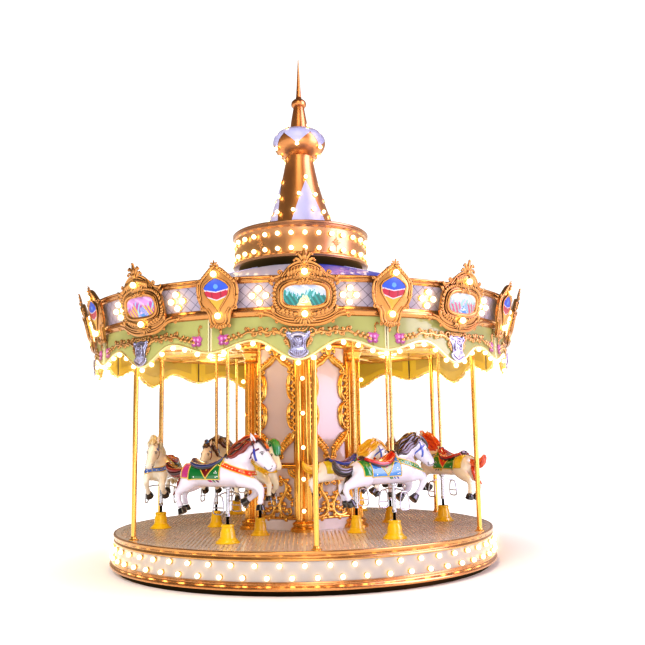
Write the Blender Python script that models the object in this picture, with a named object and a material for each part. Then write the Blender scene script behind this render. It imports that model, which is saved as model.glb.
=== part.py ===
"""Fairground carousel with twelve galloping horses, a nine-panel canopy and a spire.

Metres, +Z up. The origin is the centre of the base at ground level, and -Y is the front.
Angles are measured from the front, turning towards +X, so the horses run counter-clockwise.
"""

import math

import bmesh
import bpy
from mathutils import Matrix, Vector

GAP = 0.0003
RUNNING_GAP = 0.0006
RING_SIDES = 45
HUB_SIDES = 36
DRUM_SIDES = 36
SPIRE_SIDES = 20

GROUND_FRAME_TOP = 0.042
HUB_TOP = 0.046
SPINDLE_RADIUS = 0.10
SPINDLE_TOP = 0.30
DECK_TOP = 0.366
DECK_BOTTOM = 0.330
DECK_RADIUS = 1.985
SKIRT_BOTTOM = 0.119
SKIRT_TOP = 0.285
SKIRT_RADIUS = 1.99

RIM_POLE_COUNT = 6
RIM_POLE_ANGLE = 3
RIM_POLE_ORBIT = 1.932
RIM_POLE_RADIUS = 0.0235

CEILING_BOTTOM = 2.28
CEILING_TOP = 2.32
VALANCE_INSIDE = 2.18
PANEL_COUNT = 9
PANEL_ANGLE = 360 / PANEL_COUNT
VALANCE_RADIUS = 2.21
VALANCE_STEPS = 12
CEILING_RADIUS = VALANCE_INSIDE * math.cos(math.pi / (PANEL_COUNT * VALANCE_STEPS)) - GAP
VALANCE_TIP = 1.955
VALANCE_PEAK = 2.125
VALANCE_JOINT = 2.035
VALANCE_TURN = -0.8
ROOF_FOOT = 2.62
ROOF_TOP = 3.10
OVAL_HALF = 0.235
OVAL_SPAN = (2.28, 2.42, 2.64, 2.86)
SHIELD_HALF = 0.170
SHIELD_SPAN = (2.265, 2.42, 2.62, 2.79)
PLATE_SHIFTS = (0.7, -0.4, -1.0, -0.5, 0, 0, 0, 0, 0, 0, 0, 0, 0, 0, 0, 0.5, 1.8, 2.2)
DRUM_TOP = 3.565
SPIRE_TOP = 5.72

COLUMN_RADIUS = 0.62
PILLAR_RADIUS = 0.08
PILLAR_COUNT = 6

HORSE_COUNT = 6
HORSE_ANGLE = -27
OUTER_ORBIT = 1.54
INNER_ORBIT = 0.95
INNER_SCALE = 0.85
HORSE_TURNS = (0, 0, 28, 0, 0, -8, -34, -8, -18, -18, -18, -18)
HORSE_LIFT = 0.97
HORSE_VOXEL = 0.014
HORSE_TRIANGLES = 340
HORSE_TRAVEL = 0.05

ROUND_SIDES = 10
GUIDE_ROD_RADIUS = 0.014
LOWER_TUBE_RADIUS = 0.019
LOWER_TUBE_BOTTOM = 0.60
LOWER_TUBE_TOP = 0.93
GUIDE_ROD_TOP = 0.80
HORSE_POLE_RADIUS = 0.0165
HORSE_COLLAR_RADIUS = 0.024
HORSE_COLLAR_FOOT = 1.04
HORSE_COLLAR_TOP = 1.21
FOOTREST_REACH = 0.150
FOOTREST_BAR = 0.012
FOOTREST_TOP = 0.771
FOOTREST_BOTTOM = 0.655
HORSE_POLE_TOP = 2.42
BOOT_HEIGHT = 0.166
BOOT_FLANGE = 0.112


for old in list(bpy.data.objects):
    bpy.data.objects.remove(old)


def finish(name, colour, roughness, metallic=0.0):
    """A Principled material for one kind of surface."""
    material = bpy.data.materials.new(name)
    material.use_nodes = True
    shader = material.node_tree.nodes["Principled BSDF"]
    shader.inputs["Base Color"].default_value = (*colour, 1)
    shader.inputs["Roughness"].default_value = roughness
    shader.inputs["Metallic"].default_value = metallic
    return material


GOLD = finish("gold_paint", (0.80, 0.42, 0.09), 0.28, 0.9)
CREAM = finish("cream_enamel", (0.93, 0.89, 0.80), 0.35)
BLACK = finish("black_steel", (0.02, 0.02, 0.02), 0.5)
TREAD = finish("tread_plate", (0.72, 0.66, 0.60), 0.35, 0.8)
SAGE = finish("sage_panel", (0.66, 0.72, 0.48), 0.4)
LAVENDER = finish("lavender_canvas", (0.74, 0.74, 0.88), 0.5)
BOOT_YELLOW = finish("yellow_moulding", (0.85, 0.60, 0.03), 0.35)
HORSE_WHITE = finish("white_gloss", (0.90, 0.88, 0.86), 0.25)
BRASS = finish("pole_brass", (0.78, 0.50, 0.18), 0.25, 1.0)


def place(name, mesh, material, x=0.0, y=0.0, z=0.0, turn=0.0):
    """One named sub-part with its material, at its place."""
    part = bpy.data.objects.new(name, mesh)
    bpy.context.scene.collection.objects.link(part)
    part.location = (x, y, z)
    part.rotation_euler = (0, 0, math.radians(turn))
    if mesh.materials:
        part.material_slots[0].link = "OBJECT"
        part.material_slots[0].material = material
    else:
        mesh.materials.append(material)
    return part


def on_orbit(radius, angle):
    """The point at a radius and an angle from the front."""
    turn = math.radians(angle)
    return radius * math.sin(turn), -radius * math.cos(turn)


def new_mesh(name, build):
    """A mesh that the function build has filled, with its faces outwards."""
    mesh = bpy.data.meshes.new(name)
    shape = bmesh.new()
    build(shape)
    bmesh.ops.recalc_face_normals(shape, faces=shape.faces)
    shape.to_mesh(mesh)
    shape.free()
    return mesh


def turned(profile, sides, centre=(0, 0), start=0.0):
    """Fill a shape by turning an (r, z) outline about a vertical axis."""
    def build(shape):
        rows = []
        for radius, height in profile:
            if radius == 0:
                rows.append([shape.verts.new((centre[0], centre[1], height))])
                continue
            row = []
            for side in range(sides):
                turn = start + 2 * math.pi * side / sides
                x = centre[0] + radius * math.cos(turn)
                y = centre[1] + radius * math.sin(turn)
                row.append(shape.verts.new((x, y, height)))
            rows.append(row)
        closed = profile[0][0] > 0
        pairs = list(zip(rows, rows[1:]))
        if closed:
            pairs.append((rows[-1], rows[0]))
        for lower, upper in pairs:
            for side in range(sides):
                after = (side + 1) % sides
                if len(lower) == 1:
                    corners = (lower[0], upper[after], upper[side])
                elif len(upper) == 1:
                    corners = (lower[side], lower[after], upper[0])
                else:
                    corners = (lower[side], lower[after], upper[after], upper[side])
                shape.faces.new(corners)
    return build


def boxed(low, high):
    """Fill a shape with a box between two corners."""
    def build(shape):
        centre = [(a + b) / 2 for a, b in zip(low, high)]
        size = [b - a for a, b in zip(low, high)]
        matrix = Matrix.Translation(centre) @ Matrix.Diagonal((*size, 1))
        bmesh.ops.create_cube(shape, size=1, matrix=matrix)
    return build


def rod(radius, bottom, top, x=0.0, y=0.0, sides=ROUND_SIDES):
    """Fill a shape with an upright round bar."""
    return turned([(0, bottom), (radius, bottom), (radius, top), (0, top)], sides, (x, y))


def together(*builds):
    """Fill a shape with several solids one after another."""
    def build(shape):
        for each in builds:
            each(shape)
    return build


def cut_or_join(part, builds, operation, turn=0.0):
    """Join solids to a part, or cut them from it, with one Boolean."""
    tool = bpy.data.objects.new(part.name + "_tool", new_mesh(part.name + "_tool", together(*builds)))
    bpy.context.scene.collection.objects.link(tool)
    tool.matrix_world = part.matrix_basis @ Matrix.Rotation(math.radians(turn), 4, "Z")
    tool.hide_render = True
    tool.display_type = "WIRE"
    boolean = part.modifiers.new(operation.title(), "BOOLEAN")
    boolean.operation = operation
    boolean.solver = "EXACT"
    boolean.use_self = operation == "UNION" and len(builds) > 1
    boolean.object = tool


def shade(part, degrees=40):
    """Shade a round piece smooth, with its sharp edges kept."""
    part.data.shade_smooth()
    part.data.set_sharp_from_angle(angle=math.radians(degrees))


def make_base_frame():
    """The fixed frame on the ground, with the spindle that the turntable runs on."""
    ring = [(1.87, 0), (1.97, 0), (1.97, GROUND_FRAME_TOP), (1.87, GROUND_FRAME_TOP)]
    part = place("base_frame", new_mesh("base_frame", turned(ring, RING_SIDES)), BLACK)
    hub = [(0, 0), (0.30, 0), (0.30, HUB_TOP), (SPINDLE_RADIUS, HUB_TOP), (SPINDLE_RADIUS, SPINDLE_TOP),
           (0, SPINDLE_TOP)]
    cut_or_join(part, [turned(hub, HUB_SIDES)], "UNION")
    reach = 1.90
    half_width = 0.05
    for turn in (0, 60, 120):
        arm = boxed((-reach, -half_width, 0), (reach, half_width, GROUND_FRAME_TOP))
        cut_or_join(part, [arm], "UNION", turn)


def make_turntable():
    """The deck with its bearing hub, and the mouldings and skirt round its edge."""
    hub_outside = 0.19
    bore = SPINDLE_RADIUS + 0.0009
    bore_top = SPINDLE_TOP + 0.01
    deck = [(0, bore_top), (bore, bore_top), (bore, HUB_TOP + GAP), (hub_outside, HUB_TOP + GAP),
            (hub_outside, DECK_BOTTOM), (DECK_RADIUS, DECK_BOTTOM), (DECK_RADIUS, DECK_TOP), (0, DECK_TOP)]
    place("platform_deck", new_mesh("platform_deck", turned(deck, RING_SIDES)), TREAD)

    inside = 1.93
    low = 0.048
    base = [(inside, low), (2.030, low), (2.040, 0.060), (2.034, 0.084), (2.012, 0.100),
            (2.004, SKIRT_BOTTOM), (inside, SKIRT_BOTTOM)]
    place("base_moulding", new_mesh("base_moulding", turned(base, RING_SIDES)), GOLD)

    skirt = [(1.95, SKIRT_BOTTOM + GAP), (SKIRT_RADIUS, SKIRT_BOTTOM + GAP), (SKIRT_RADIUS, SKIRT_TOP),
             (1.95, SKIRT_TOP)]
    place("skirt_band", new_mesh("skirt_band", turned(skirt, RING_SIDES)), CREAM)

    lip = DECK_RADIUS + GAP
    rim = [(inside, SKIRT_TOP + GAP), (1.998, SKIRT_TOP + GAP), (2.004, 0.300), (1.994, 0.318),
           (2.006, 0.340), (2.006, 0.360), (2.000, DECK_TOP), (lip, DECK_TOP),
           (lip, DECK_BOTTOM - GAP), (inside, DECK_BOTTOM - GAP)]
    place("rim_moulding", new_mesh("rim_moulding", turned(rim, RING_SIDES)), GOLD)


def make_rim_poles():
    """The smooth poles at the platform's edge, with a flange at each end."""
    foot = DECK_TOP + GAP
    head = CEILING_BOTTOM - GAP
    flange = 0.047
    profile = [(0, foot), (flange, foot), (flange, foot + 0.008), (RIM_POLE_RADIUS, foot + 0.016),
               (RIM_POLE_RADIUS, head - 0.010), (flange, head - 0.006), (flange, head), (0, head)]
    mesh = new_mesh("rim_pole", turned(profile, ROUND_SIDES))
    for count in range(RIM_POLE_COUNT):
        x, y = on_orbit(RIM_POLE_ORBIT, RIM_POLE_ANGLE + count * 360 / RIM_POLE_COUNT)
        shade(place(f"rim_pole_{count + 1}", mesh, GOLD, x, y))


def make_column():
    """The six-sided centre housing with a fluted pillar at each corner."""
    foot = DECK_TOP + GAP
    head = CEILING_BOTTOM - GAP
    plinth_top = 0.47
    core = [(0, foot), (COLUMN_RADIUS + 0.02, foot), (COLUMN_RADIUS + 0.02, plinth_top),
            (COLUMN_RADIUS, plinth_top + 0.01), (COLUMN_RADIUS, head), (0, head)]
    corner = -math.pi / 2
    column = place("centre_column", new_mesh("centre_column", turned(core, PILLAR_COUNT, start=corner)), GOLD)
    pillar = [(0, foot), (0.140, foot), (0.140, foot + 0.035), (0.118, foot + 0.05), (0.125, plinth_top - 0.02),
              (PILLAR_RADIUS, plinth_top), (PILLAR_RADIUS, 2.13), (0.105, 2.16), (0.095, 2.20),
              (0.130, 2.25), (0.130, head), (0, head)]
    pillars = []
    for count in range(PILLAR_COUNT):
        place_of = on_orbit(COLUMN_RADIUS, count * 360 / PILLAR_COUNT)
        pillars.append(turned(pillar, ROUND_SIDES, place_of))
    cut_or_join(column, pillars, "UNION")


def horse_places():
    """Number, orbit, angle, scale and turn of each horse."""
    for row, (orbit, scale) in enumerate(((OUTER_ORBIT, 1.0), (INNER_ORBIT, INNER_SCALE))):
        for count in range(HORSE_COUNT):
            number = row * HORSE_COUNT + count + 1
            angle = HORSE_ANGLE + count * 360 / HORSE_COUNT
            yield number, orbit, angle, scale, HORSE_TURNS[number - 1]


def make_canopy():
    """The ceiling, the waved valance, the leaning cornice and the roof above them."""
    ceiling = [(0, CEILING_BOTTOM), (CEILING_RADIUS, CEILING_BOTTOM), (CEILING_RADIUS, CEILING_TOP),
               (0, CEILING_TOP)]
    part = place("ceiling", new_mesh("ceiling", turned(ceiling, RING_SIDES)), GOLD)
    guides = []
    for _, orbit, angle, _, turn in horse_places():
        hole = [(0, CEILING_BOTTOM - 0.02), (HORSE_POLE_RADIUS + RUNNING_GAP, CEILING_BOTTOM - 0.02),
                (HORSE_POLE_RADIUS + RUNNING_GAP, CEILING_TOP + 0.02), (0, CEILING_TOP + 0.02)]
        guides.append(turned(hole, ROUND_SIDES, on_orbit(orbit, angle), math.radians(angle + turn)))
    cut_or_join(part, guides, "DIFFERENCE")

    place("valance", new_mesh("valance", valance_ring), SAGE)

    cornice = [(2.12, CEILING_TOP + GAP), (2.190, CEILING_TOP + GAP), (2.214, 2.345), (2.214, 2.385),
               (2.196, 2.400), (2.246, 2.595), (2.274, 2.600), (2.288, 2.635), (2.272, 2.666), (2.200, 2.666),
               (2.180, ROOF_FOOT), (2.12, ROOF_FOOT)]
    part = place("cornice", new_mesh("cornice", turned(cornice, RING_SIDES)), GOLD)
    plates = []
    for count, shift in enumerate(PLATE_SHIFTS):
        angle = count * PANEL_ANGLE / 2 + shift
        if count % 2 == 0:
            plates.append(cartouche(angle, OVAL_HALF, OVAL_SPAN))
        else:
            plates.append(cartouche(angle, SHIELD_HALF, SHIELD_SPAN))
    cut_or_join(part, plates, "UNION")

    seat = ROOF_FOOT + GAP
    roof = [(2.125, seat), (2.172, seat), (2.172, seat + 0.025), (0.72, ROOF_TOP), (0.60, ROOF_TOP),
            (0.60, ROOF_TOP - 0.02), (0.72, ROOF_TOP - 0.02)]
    place("roof", new_mesh("roof", turned(roof, RING_SIDES)), LAVENDER)


def valance_low(offset):
    """Height of the valance's lower edge, at an angle from the middle of a panel."""
    peak_angle = PANEL_ANGLE / 4
    offset = abs(offset)
    if offset <= peak_angle:
        swell = (1 - math.cos(math.pi * offset / peak_angle)) / 2
        return VALANCE_TIP + (VALANCE_PEAK - VALANCE_TIP) * swell
    swell = (1 - math.cos(math.pi * (offset - peak_angle) / peak_angle)) / 2
    return VALANCE_PEAK + (VALANCE_JOINT - VALANCE_PEAK) * swell


def valance_ring(shape):
    """A thin ring whose lower edge hangs in one tip and two waves for each panel."""
    total = PANEL_COUNT * VALANCE_STEPS
    rows = []
    for step in range(total):
        angle = step * PANEL_ANGLE / VALANCE_STEPS
        offset = (angle + PANEL_ANGLE / 2) % PANEL_ANGLE - PANEL_ANGLE / 2
        low = valance_low(offset)
        x, y = on_orbit(1, angle + VALANCE_TURN)
        row = []
        for radius, height in ((VALANCE_INSIDE, low), (VALANCE_RADIUS, low), (VALANCE_RADIUS, CEILING_TOP),
                               (VALANCE_INSIDE, CEILING_TOP)):
            row.append(shape.verts.new((radius * x, radius * y, height)))
        rows.append(row)
    for step in range(total):
        here = rows[step]
        after = rows[(step + 1) % total]
        for corner in range(4):
            other = (corner + 1) % 4
            shape.faces.new((here[corner], after[corner], after[other], here[other]))


def cartouche(angle, half_width, span):
    """A carved plate on the cornice: a pointed bottom, full sides and a leafy finial."""
    bottom, low_side, high_side, top = span
    lean = 0.25
    depth = 0.07
    foot_radius = 2.245

    outline = [(0, bottom), (0.45 * half_width, bottom + 0.03), (0.85 * half_width, low_side - 0.03),
               (half_width, (low_side + high_side) / 2), (0.80 * half_width, high_side),
               (0.35 * half_width, high_side + 0.05), (0.15 * half_width, top - 0.02), (0, top)]
    outline += [(-across, height) for across, height in reversed(outline[1:-1])]

    def build(shape):
        facing = Matrix.Rotation(math.radians(angle), 4, "Z")
        front = []
        back = []
        for across, height in outline:
            out = foot_radius + lean * (height - bottom)
            behind = out - depth if height > CEILING_TOP + 0.01 else VALANCE_RADIUS + 0.003
            front.append(shape.verts.new(facing @ Vector((across, -out, height))))
            back.append(shape.verts.new(facing @ Vector((across, -behind, height))))
        shape.faces.new(front)
        shape.faces.new(list(reversed(back)))
        for count in range(len(outline)):
            after = (count + 1) % len(outline)
            shape.faces.new((front[count], back[count], back[after], front[after]))
    return build


def make_crown():
    """The round drum on the roof and the onion spire on top of it."""
    drum = [(0, ROOF_TOP + GAP), (0.70, ROOF_TOP + GAP), (0.70, 3.175), (0.765, 3.180), (0.778, 3.205),
            (0.755, 3.225), (0.755, 3.495), (0.780, 3.515), (0.780, 3.550), (0.750, DRUM_TOP), (0, DRUM_TOP)]
    shade(place("crown_drum", new_mesh("crown_drum", turned(drum, DRUM_SIDES)), GOLD))
    spire = [(0, DRUM_TOP + GAP), (0.420, DRUM_TOP + GAP), (0.345, 3.770), (0.268, 4.000), (0.208, 4.220),
             (0.165, 4.430), (0.186, 4.450), (0.186, 4.480), (0.165, 4.500), (0.262, 4.590), (0.303, 4.690),
             (0.272, 4.790), (0.190, 4.850), (0.100, 4.885), (0.060, 5.125), (0.087, 5.165), (0.060, 5.215),
             (0.035, 5.230), (0.015, 5.480), (0, SPIRE_TOP)]
    shade(place("spire", new_mesh("spire", turned(spire, SPIRE_SIDES)), GOLD))


def loft(stations, sides=10):
    """Fill a shape with a limb: (x, y, z, half depth, half width) stations in the horse's long plane."""
    def build(shape):
        rows = []
        for count, (x, y, z, depth, width) in enumerate(stations):
            before = Vector(stations[max(count - 1, 0)][:3])
            after = Vector(stations[min(count + 1, len(stations) - 1)][:3])
            along = (after - before).normalized()
            side = Vector((0, 1, 0))
            up = along.cross(side).normalized()
            row = []
            for step in range(sides):
                turn = 2 * math.pi * step / sides
                point = Vector((x, y, z)) + up * (depth * math.cos(turn)) + side * (width * math.sin(turn))
                row.append(shape.verts.new(point))
            rows.append(row)
        for lower, upper in zip(rows, rows[1:]):
            for step in range(sides):
                after = (step + 1) % sides
                shape.faces.new((lower[step], lower[after], upper[after], upper[step]))
        shape.faces.new(list(reversed(rows[0])))
        shape.faces.new(rows[-1])
    return build


TORSO = [(-0.500, 0, 1.000, 0.030, 0.040), (-0.468, 0, 0.990, 0.082, 0.090), (-0.378, 0, 0.975, 0.110, 0.127),
         (-0.210, 0, 0.965, 0.105, 0.125), (0.000, 0, 0.985, 0.126, 0.131), (0.110, 0, 0.996, 0.138, 0.131),
         (0.200, 0, 0.978, 0.112, 0.108), (0.262, 0, 0.958, 0.052, 0.052)]
NECK = [(0.050, 0, 1.030, 0.135, 0.088), (0.130, 0, 1.115, 0.114, 0.074), (0.205, 0, 1.200, 0.085, 0.058),
        (0.275, 0, 1.252, 0.050, 0.045)]
HEAD = [(0.262, 0, 1.250, 0.052, 0.042), (0.335, 0, 1.172, 0.088, 0.056), (0.420, 0, 1.088, 0.064, 0.044),
        (0.472, 0, 1.040, 0.050, 0.041), (0.500, 0, 1.014, 0.024, 0.024)]
MANE = [(0.020, 0, 1.140, 0.020, 0.030), (0.070, 0, 1.210, 0.036, 0.048), (0.150, 0, 1.270, 0.038, 0.052),
        (0.255, 0, 1.300, 0.030, 0.047), (0.345, 0, 1.282, 0.028, 0.036), (0.415, 0, 1.218, 0.016, 0.022)]
TAIL = [(-0.462, 0, 1.048, 0.028, 0.032), (-0.548, 0, 1.015, 0.050, 0.044), (-0.635, 0, 1.028, 0.052, 0.044),
        (-0.692, 0, 1.085, 0.022, 0.026)]
SADDLE = [(-0.372, 0, 1.115, 0.018, 0.090), (-0.300, 0, 1.078, 0.024, 0.112), (-0.180, 0, 1.064, 0.026, 0.108),
          (-0.070, 0, 1.092, 0.026, 0.080), (-0.005, 0, 1.145, 0.018, 0.038)]
REACHING_LEGS = (
    [(0.185, -0.072, 0.950, 0.080, 0.050), (0.350, -0.078, 0.888, 0.046, 0.038),
     (0.398, -0.078, 0.790, 0.028, 0.028), (0.390, -0.078, 0.732, 0.036, 0.036),
     (0.394, -0.078, 0.690, 0.043, 0.040)],
    [(0.180, 0.072, 0.930, 0.072, 0.048), (0.262, 0.078, 0.838, 0.040, 0.034),
     (0.212, 0.078, 0.772, 0.028, 0.028), (0.166, 0.078, 0.750, 0.036, 0.036),
     (0.136, 0.078, 0.728, 0.042, 0.040)],
    [(-0.375, -0.070, 0.950, 0.095, 0.058), (-0.430, -0.075, 0.880, 0.062, 0.045),
     (-0.500, -0.078, 0.812, 0.036, 0.030), (-0.478, -0.078, 0.705, 0.026, 0.026),
     (-0.455, -0.078, 0.642, 0.046, 0.040)],
    [(-0.370, 0.070, 0.950, 0.095, 0.058), (-0.440, 0.075, 0.880, 0.062, 0.045),
     (-0.528, 0.078, 0.820, 0.036, 0.030), (-0.528, 0.078, 0.716, 0.026, 0.026),
     (-0.514, 0.078, 0.654, 0.046, 0.040)],
)
TUCKED_LEGS = (
    [(0.185, -0.072, 0.950, 0.075, 0.050), (0.302, -0.078, 0.912, 0.046, 0.038),
     (0.270, -0.078, 0.820, 0.028, 0.028), (0.214, -0.078, 0.756, 0.036, 0.036),
     (0.176, -0.078, 0.722, 0.044, 0.040)],
    [(0.180, 0.072, 0.930, 0.070, 0.048), (0.305, 0.078, 0.862, 0.040, 0.034),
     (0.320, 0.078, 0.775, 0.028, 0.028), (0.312, 0.078, 0.736, 0.036, 0.036),
     (0.310, 0.078, 0.697, 0.044, 0.040)],
    [(-0.375, -0.070, 0.955, 0.095, 0.058), (-0.480, -0.075, 0.908, 0.062, 0.045),
     (-0.600, -0.078, 0.862, 0.036, 0.030), (-0.586, -0.078, 0.775, 0.026, 0.026),
     (-0.556, -0.078, 0.712, 0.046, 0.040)],
    [(-0.370, 0.070, 0.950, 0.095, 0.058), (-0.450, 0.075, 0.890, 0.062, 0.045),
     (-0.545, 0.078, 0.846, 0.036, 0.030), (-0.520, 0.078, 0.760, 0.026, 0.026),
     (-0.490, 0.078, 0.700, 0.046, 0.040)],
)
LEG_SETS = (REACHING_LEGS, TUCKED_LEGS)
EAR_PLACE = (0.275, 0.038)
EAR_FOOT = 1.275
EAR_TIP = 1.355
EAR_RADIUS = 0.022
EAR_POINT = 0.005


def ear(side, scale):
    """A short pointed ear at the poll."""
    def build(shape):
        foot = HORSE_LIFT + scale * (EAR_FOOT - HORSE_LIFT)
        tip = HORSE_LIFT + scale * (EAR_TIP - HORSE_LIFT)
        along, across = EAR_PLACE
        middle = Matrix.Translation((along * scale, side * across * scale, (foot + tip) / 2))
        bmesh.ops.create_cone(shape, cap_ends=True, segments=5, radius1=EAR_RADIUS * scale, radius2=EAR_POINT,
                              depth=tip - foot, matrix=middle)
    return build


def horse_mesh(name, legs, scale):
    """One carved horse: rounded limbs merged into a single skin, about its pole at x = 0."""
    limbs = [loft(TORSO, 14), loft(NECK), loft(HEAD), loft(MANE, 8), loft(TAIL), loft(SADDLE)]
    limbs += [loft(leg, 8) for leg in legs]
    rough = bpy.data.objects.new(name + "_rough", new_mesh(name + "_rough", together(*limbs)))
    bpy.context.scene.collection.objects.link(rough)
    skin = rough.modifiers.new("Skin", "REMESH")
    skin.mode = "VOXEL"
    skin.voxel_size = HORSE_VOXEL
    soften = rough.modifiers.new("Soften", "SMOOTH")
    soften.factor = 0.5
    soften.iterations = 2
    depsgraph = bpy.context.evaluated_depsgraph_get()
    faces = sum(len(face.vertices) - 2 for face in rough.evaluated_get(depsgraph).data.polygons)
    thin = rough.modifiers.new("Thin", "DECIMATE")
    thin.ratio = HORSE_TRIANGLES / faces
    depsgraph.update()
    depsgraph = bpy.context.evaluated_depsgraph_get()
    mesh = bpy.data.meshes.new_from_object(rough.evaluated_get(depsgraph))
    bpy.data.objects.remove(rough)
    lift = Matrix.Translation((0, 0, HORSE_LIFT))
    mesh.transform(lift @ Matrix.Scale(scale, 4) @ lift.inverted())
    mesh.materials.clear()
    return mesh


def footrest(side):
    """A wire loop for the rider's foot, on one side of the lower tube."""
    half_length = 0.055
    outer = FOOTREST_REACH + FOOTREST_BAR / 2
    inner = FOOTREST_REACH - FOOTREST_BAR / 2

    def build(shape):
        loops = []
        for across in (side * inner, side * outer):
            for inset in (0, FOOTREST_BAR):
                corners = []
                low = FOOTREST_BOTTOM + inset
                high = FOOTREST_TOP - inset
                for x, z in ((-half_length + inset, low), (half_length - inset, low),
                             (half_length - inset, high), (-half_length + inset, high)):
                    corners.append(shape.verts.new((x, across, z)))
                loops.append(corners)
        for first, second in ((0, 1), (1, 3), (3, 2), (2, 0)):
            for corner in range(4):
                after = (corner + 1) % 4
                shape.faces.new((loops[first][corner], loops[first][after],
                                 loops[second][after], loops[second][corner]))
    return build


def make_horses():
    """Twelve horses with their lower tubes, poles and deck boots."""
    variants = {}
    half_bar = FOOTREST_BAR / 2
    cross_bar = boxed((-half_bar, -FOOTREST_REACH, FOOTREST_TOP - FOOTREST_BAR),
                      (half_bar, FOOTREST_REACH, FOOTREST_TOP))
    bore_top = GUIDE_ROD_TOP + HORSE_TRAVEL + 0.01
    bore = rod(GUIDE_ROD_RADIUS + RUNNING_GAP, LOWER_TUBE_BOTTOM - 0.02, bore_top)
    for number, orbit, angle, scale, turn in horse_places():
        legs = (number - 1) % 2
        key = (legs, scale)
        if key not in variants:
            variants[key] = horse_mesh(f"horse_skin_{len(variants) + 1}", LEG_SETS[legs], scale)
        x, y = on_orbit(orbit, angle)
        heading = angle + turn
        horse = place(f"horse_{number}", variants[key], HORSE_WHITE, x, y, 0, heading)
        collar_top = HORSE_LIFT + scale * (HORSE_COLLAR_TOP - HORSE_LIFT)
        collar = rod(HORSE_COLLAR_RADIUS, HORSE_COLLAR_FOOT, collar_top)
        tube = rod(LOWER_TUBE_RADIUS, LOWER_TUBE_BOTTOM, LOWER_TUBE_TOP)
        fittings = [collar, tube, cross_bar, footrest(-1), footrest(1), ear(-1, scale), ear(1, scale)]
        cut_or_join(horse, fittings, "UNION")
        cut_or_join(horse, [bore], "DIFFERENCE")

        pole = new_mesh(f"horse_pole_{number}", rod(HORSE_POLE_RADIUS, collar_top + GAP, HORSE_POLE_TOP))
        shade(place(f"horse_pole_{number}", pole, BRASS, x, y, 0, heading))
        foot = DECK_TOP + GAP
        flange = BOOT_FLANGE * scale
        boot = [(0, foot), (flange, foot), (flange, foot + 0.010), (0.070 * scale, foot + 0.030),
                (0.062 * scale, foot + 0.100), (0.044 * scale, foot + BOOT_HEIGHT),
                (GUIDE_ROD_RADIUS, foot + BOOT_HEIGHT), (GUIDE_ROD_RADIUS, GUIDE_ROD_TOP), (0, GUIDE_ROD_TOP)]
        shade(place(f"boot_{number}", new_mesh(f"boot_{number}", turned(boot, ROUND_SIDES)), BOOT_YELLOW,
                    x, y, 0, heading))


make_base_frame()
make_turntable()
make_rim_poles()
make_column()
make_canopy()
make_crown()
make_horses()
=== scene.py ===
"""Looks of the fairground carousel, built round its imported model.

Metres, +Z up, the turning axis on Z and the front towards -Y. Angles run from the front towards +X.
"""

import math
import random

import bmesh
import bpy
from mathutils import Matrix, Vector
from mathutils.bvhtree import BVHTree


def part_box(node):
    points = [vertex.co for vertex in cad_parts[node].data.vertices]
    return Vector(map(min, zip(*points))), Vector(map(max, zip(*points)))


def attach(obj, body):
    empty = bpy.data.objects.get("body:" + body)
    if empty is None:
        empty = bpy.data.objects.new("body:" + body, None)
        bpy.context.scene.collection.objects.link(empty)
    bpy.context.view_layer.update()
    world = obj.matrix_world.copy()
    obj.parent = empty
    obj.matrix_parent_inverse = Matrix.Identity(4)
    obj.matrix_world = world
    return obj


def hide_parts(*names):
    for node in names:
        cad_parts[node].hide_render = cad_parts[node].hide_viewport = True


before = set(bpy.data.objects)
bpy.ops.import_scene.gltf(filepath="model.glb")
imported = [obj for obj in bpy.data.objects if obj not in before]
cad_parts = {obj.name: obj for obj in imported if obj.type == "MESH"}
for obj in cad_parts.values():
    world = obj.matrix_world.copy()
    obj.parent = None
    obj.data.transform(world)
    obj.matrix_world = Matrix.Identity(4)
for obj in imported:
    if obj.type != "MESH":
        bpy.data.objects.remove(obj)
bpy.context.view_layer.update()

TURNTABLE = "turntable"
DECK_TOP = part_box("platform_deck")[1].z
DECK_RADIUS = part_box("platform_deck")[1].x
SKIRT_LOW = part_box("skirt_band")[0].z
SKIRT_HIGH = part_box("skirt_band")[1].z
SKIRT_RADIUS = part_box("skirt_band")[1].x
CEILING_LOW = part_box("ceiling")[0].z
CEILING_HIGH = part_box("ceiling")[1].z
VALANCE_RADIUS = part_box("valance")[1].x
VALANCE_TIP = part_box("valance")[0].z
ROOF_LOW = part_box("roof")[0].z
ROOF_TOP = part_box("roof")[1].z
SPIRE_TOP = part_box("spire")[1].z
PANEL_COUNT = 9
PANEL_ANGLE = 360 / PANEL_COUNT
VALANCE_TURN = -0.8
VALANCE_PEAK = 2.125
VALANCE_JOINT = 2.035
FRAME_SHIFTS = (0.7, -0.4, -1.0, -0.5, 0, 0, 0, 0, 0, 0, 0, 0, 0, 0, 0, 0.5, 1.8, 2.2)
FRAME_ANGLES = [place * PANEL_ANGLE / 2 + shift for place, shift in enumerate(FRAME_SHIFTS)]
COLUMN_RADIUS = 0.62
PILLAR_COUNT = 6
PILLAR_RADIUS = 0.08
SMOOTH_SIDES = 180
OUTWARDS = Vector((0, 1, 0))
UPWARDS = Vector((0, 0, 1))


def polar(radius, angle, height=0.0):
    """The point at a radius and an angle from the front, in degrees."""
    turn = math.radians(angle)
    return Vector((radius * math.sin(turn), -radius * math.cos(turn), height))


def between(low, high, share):
    """The value a share of the way from low to high."""
    return low + (high - low) * share


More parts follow.
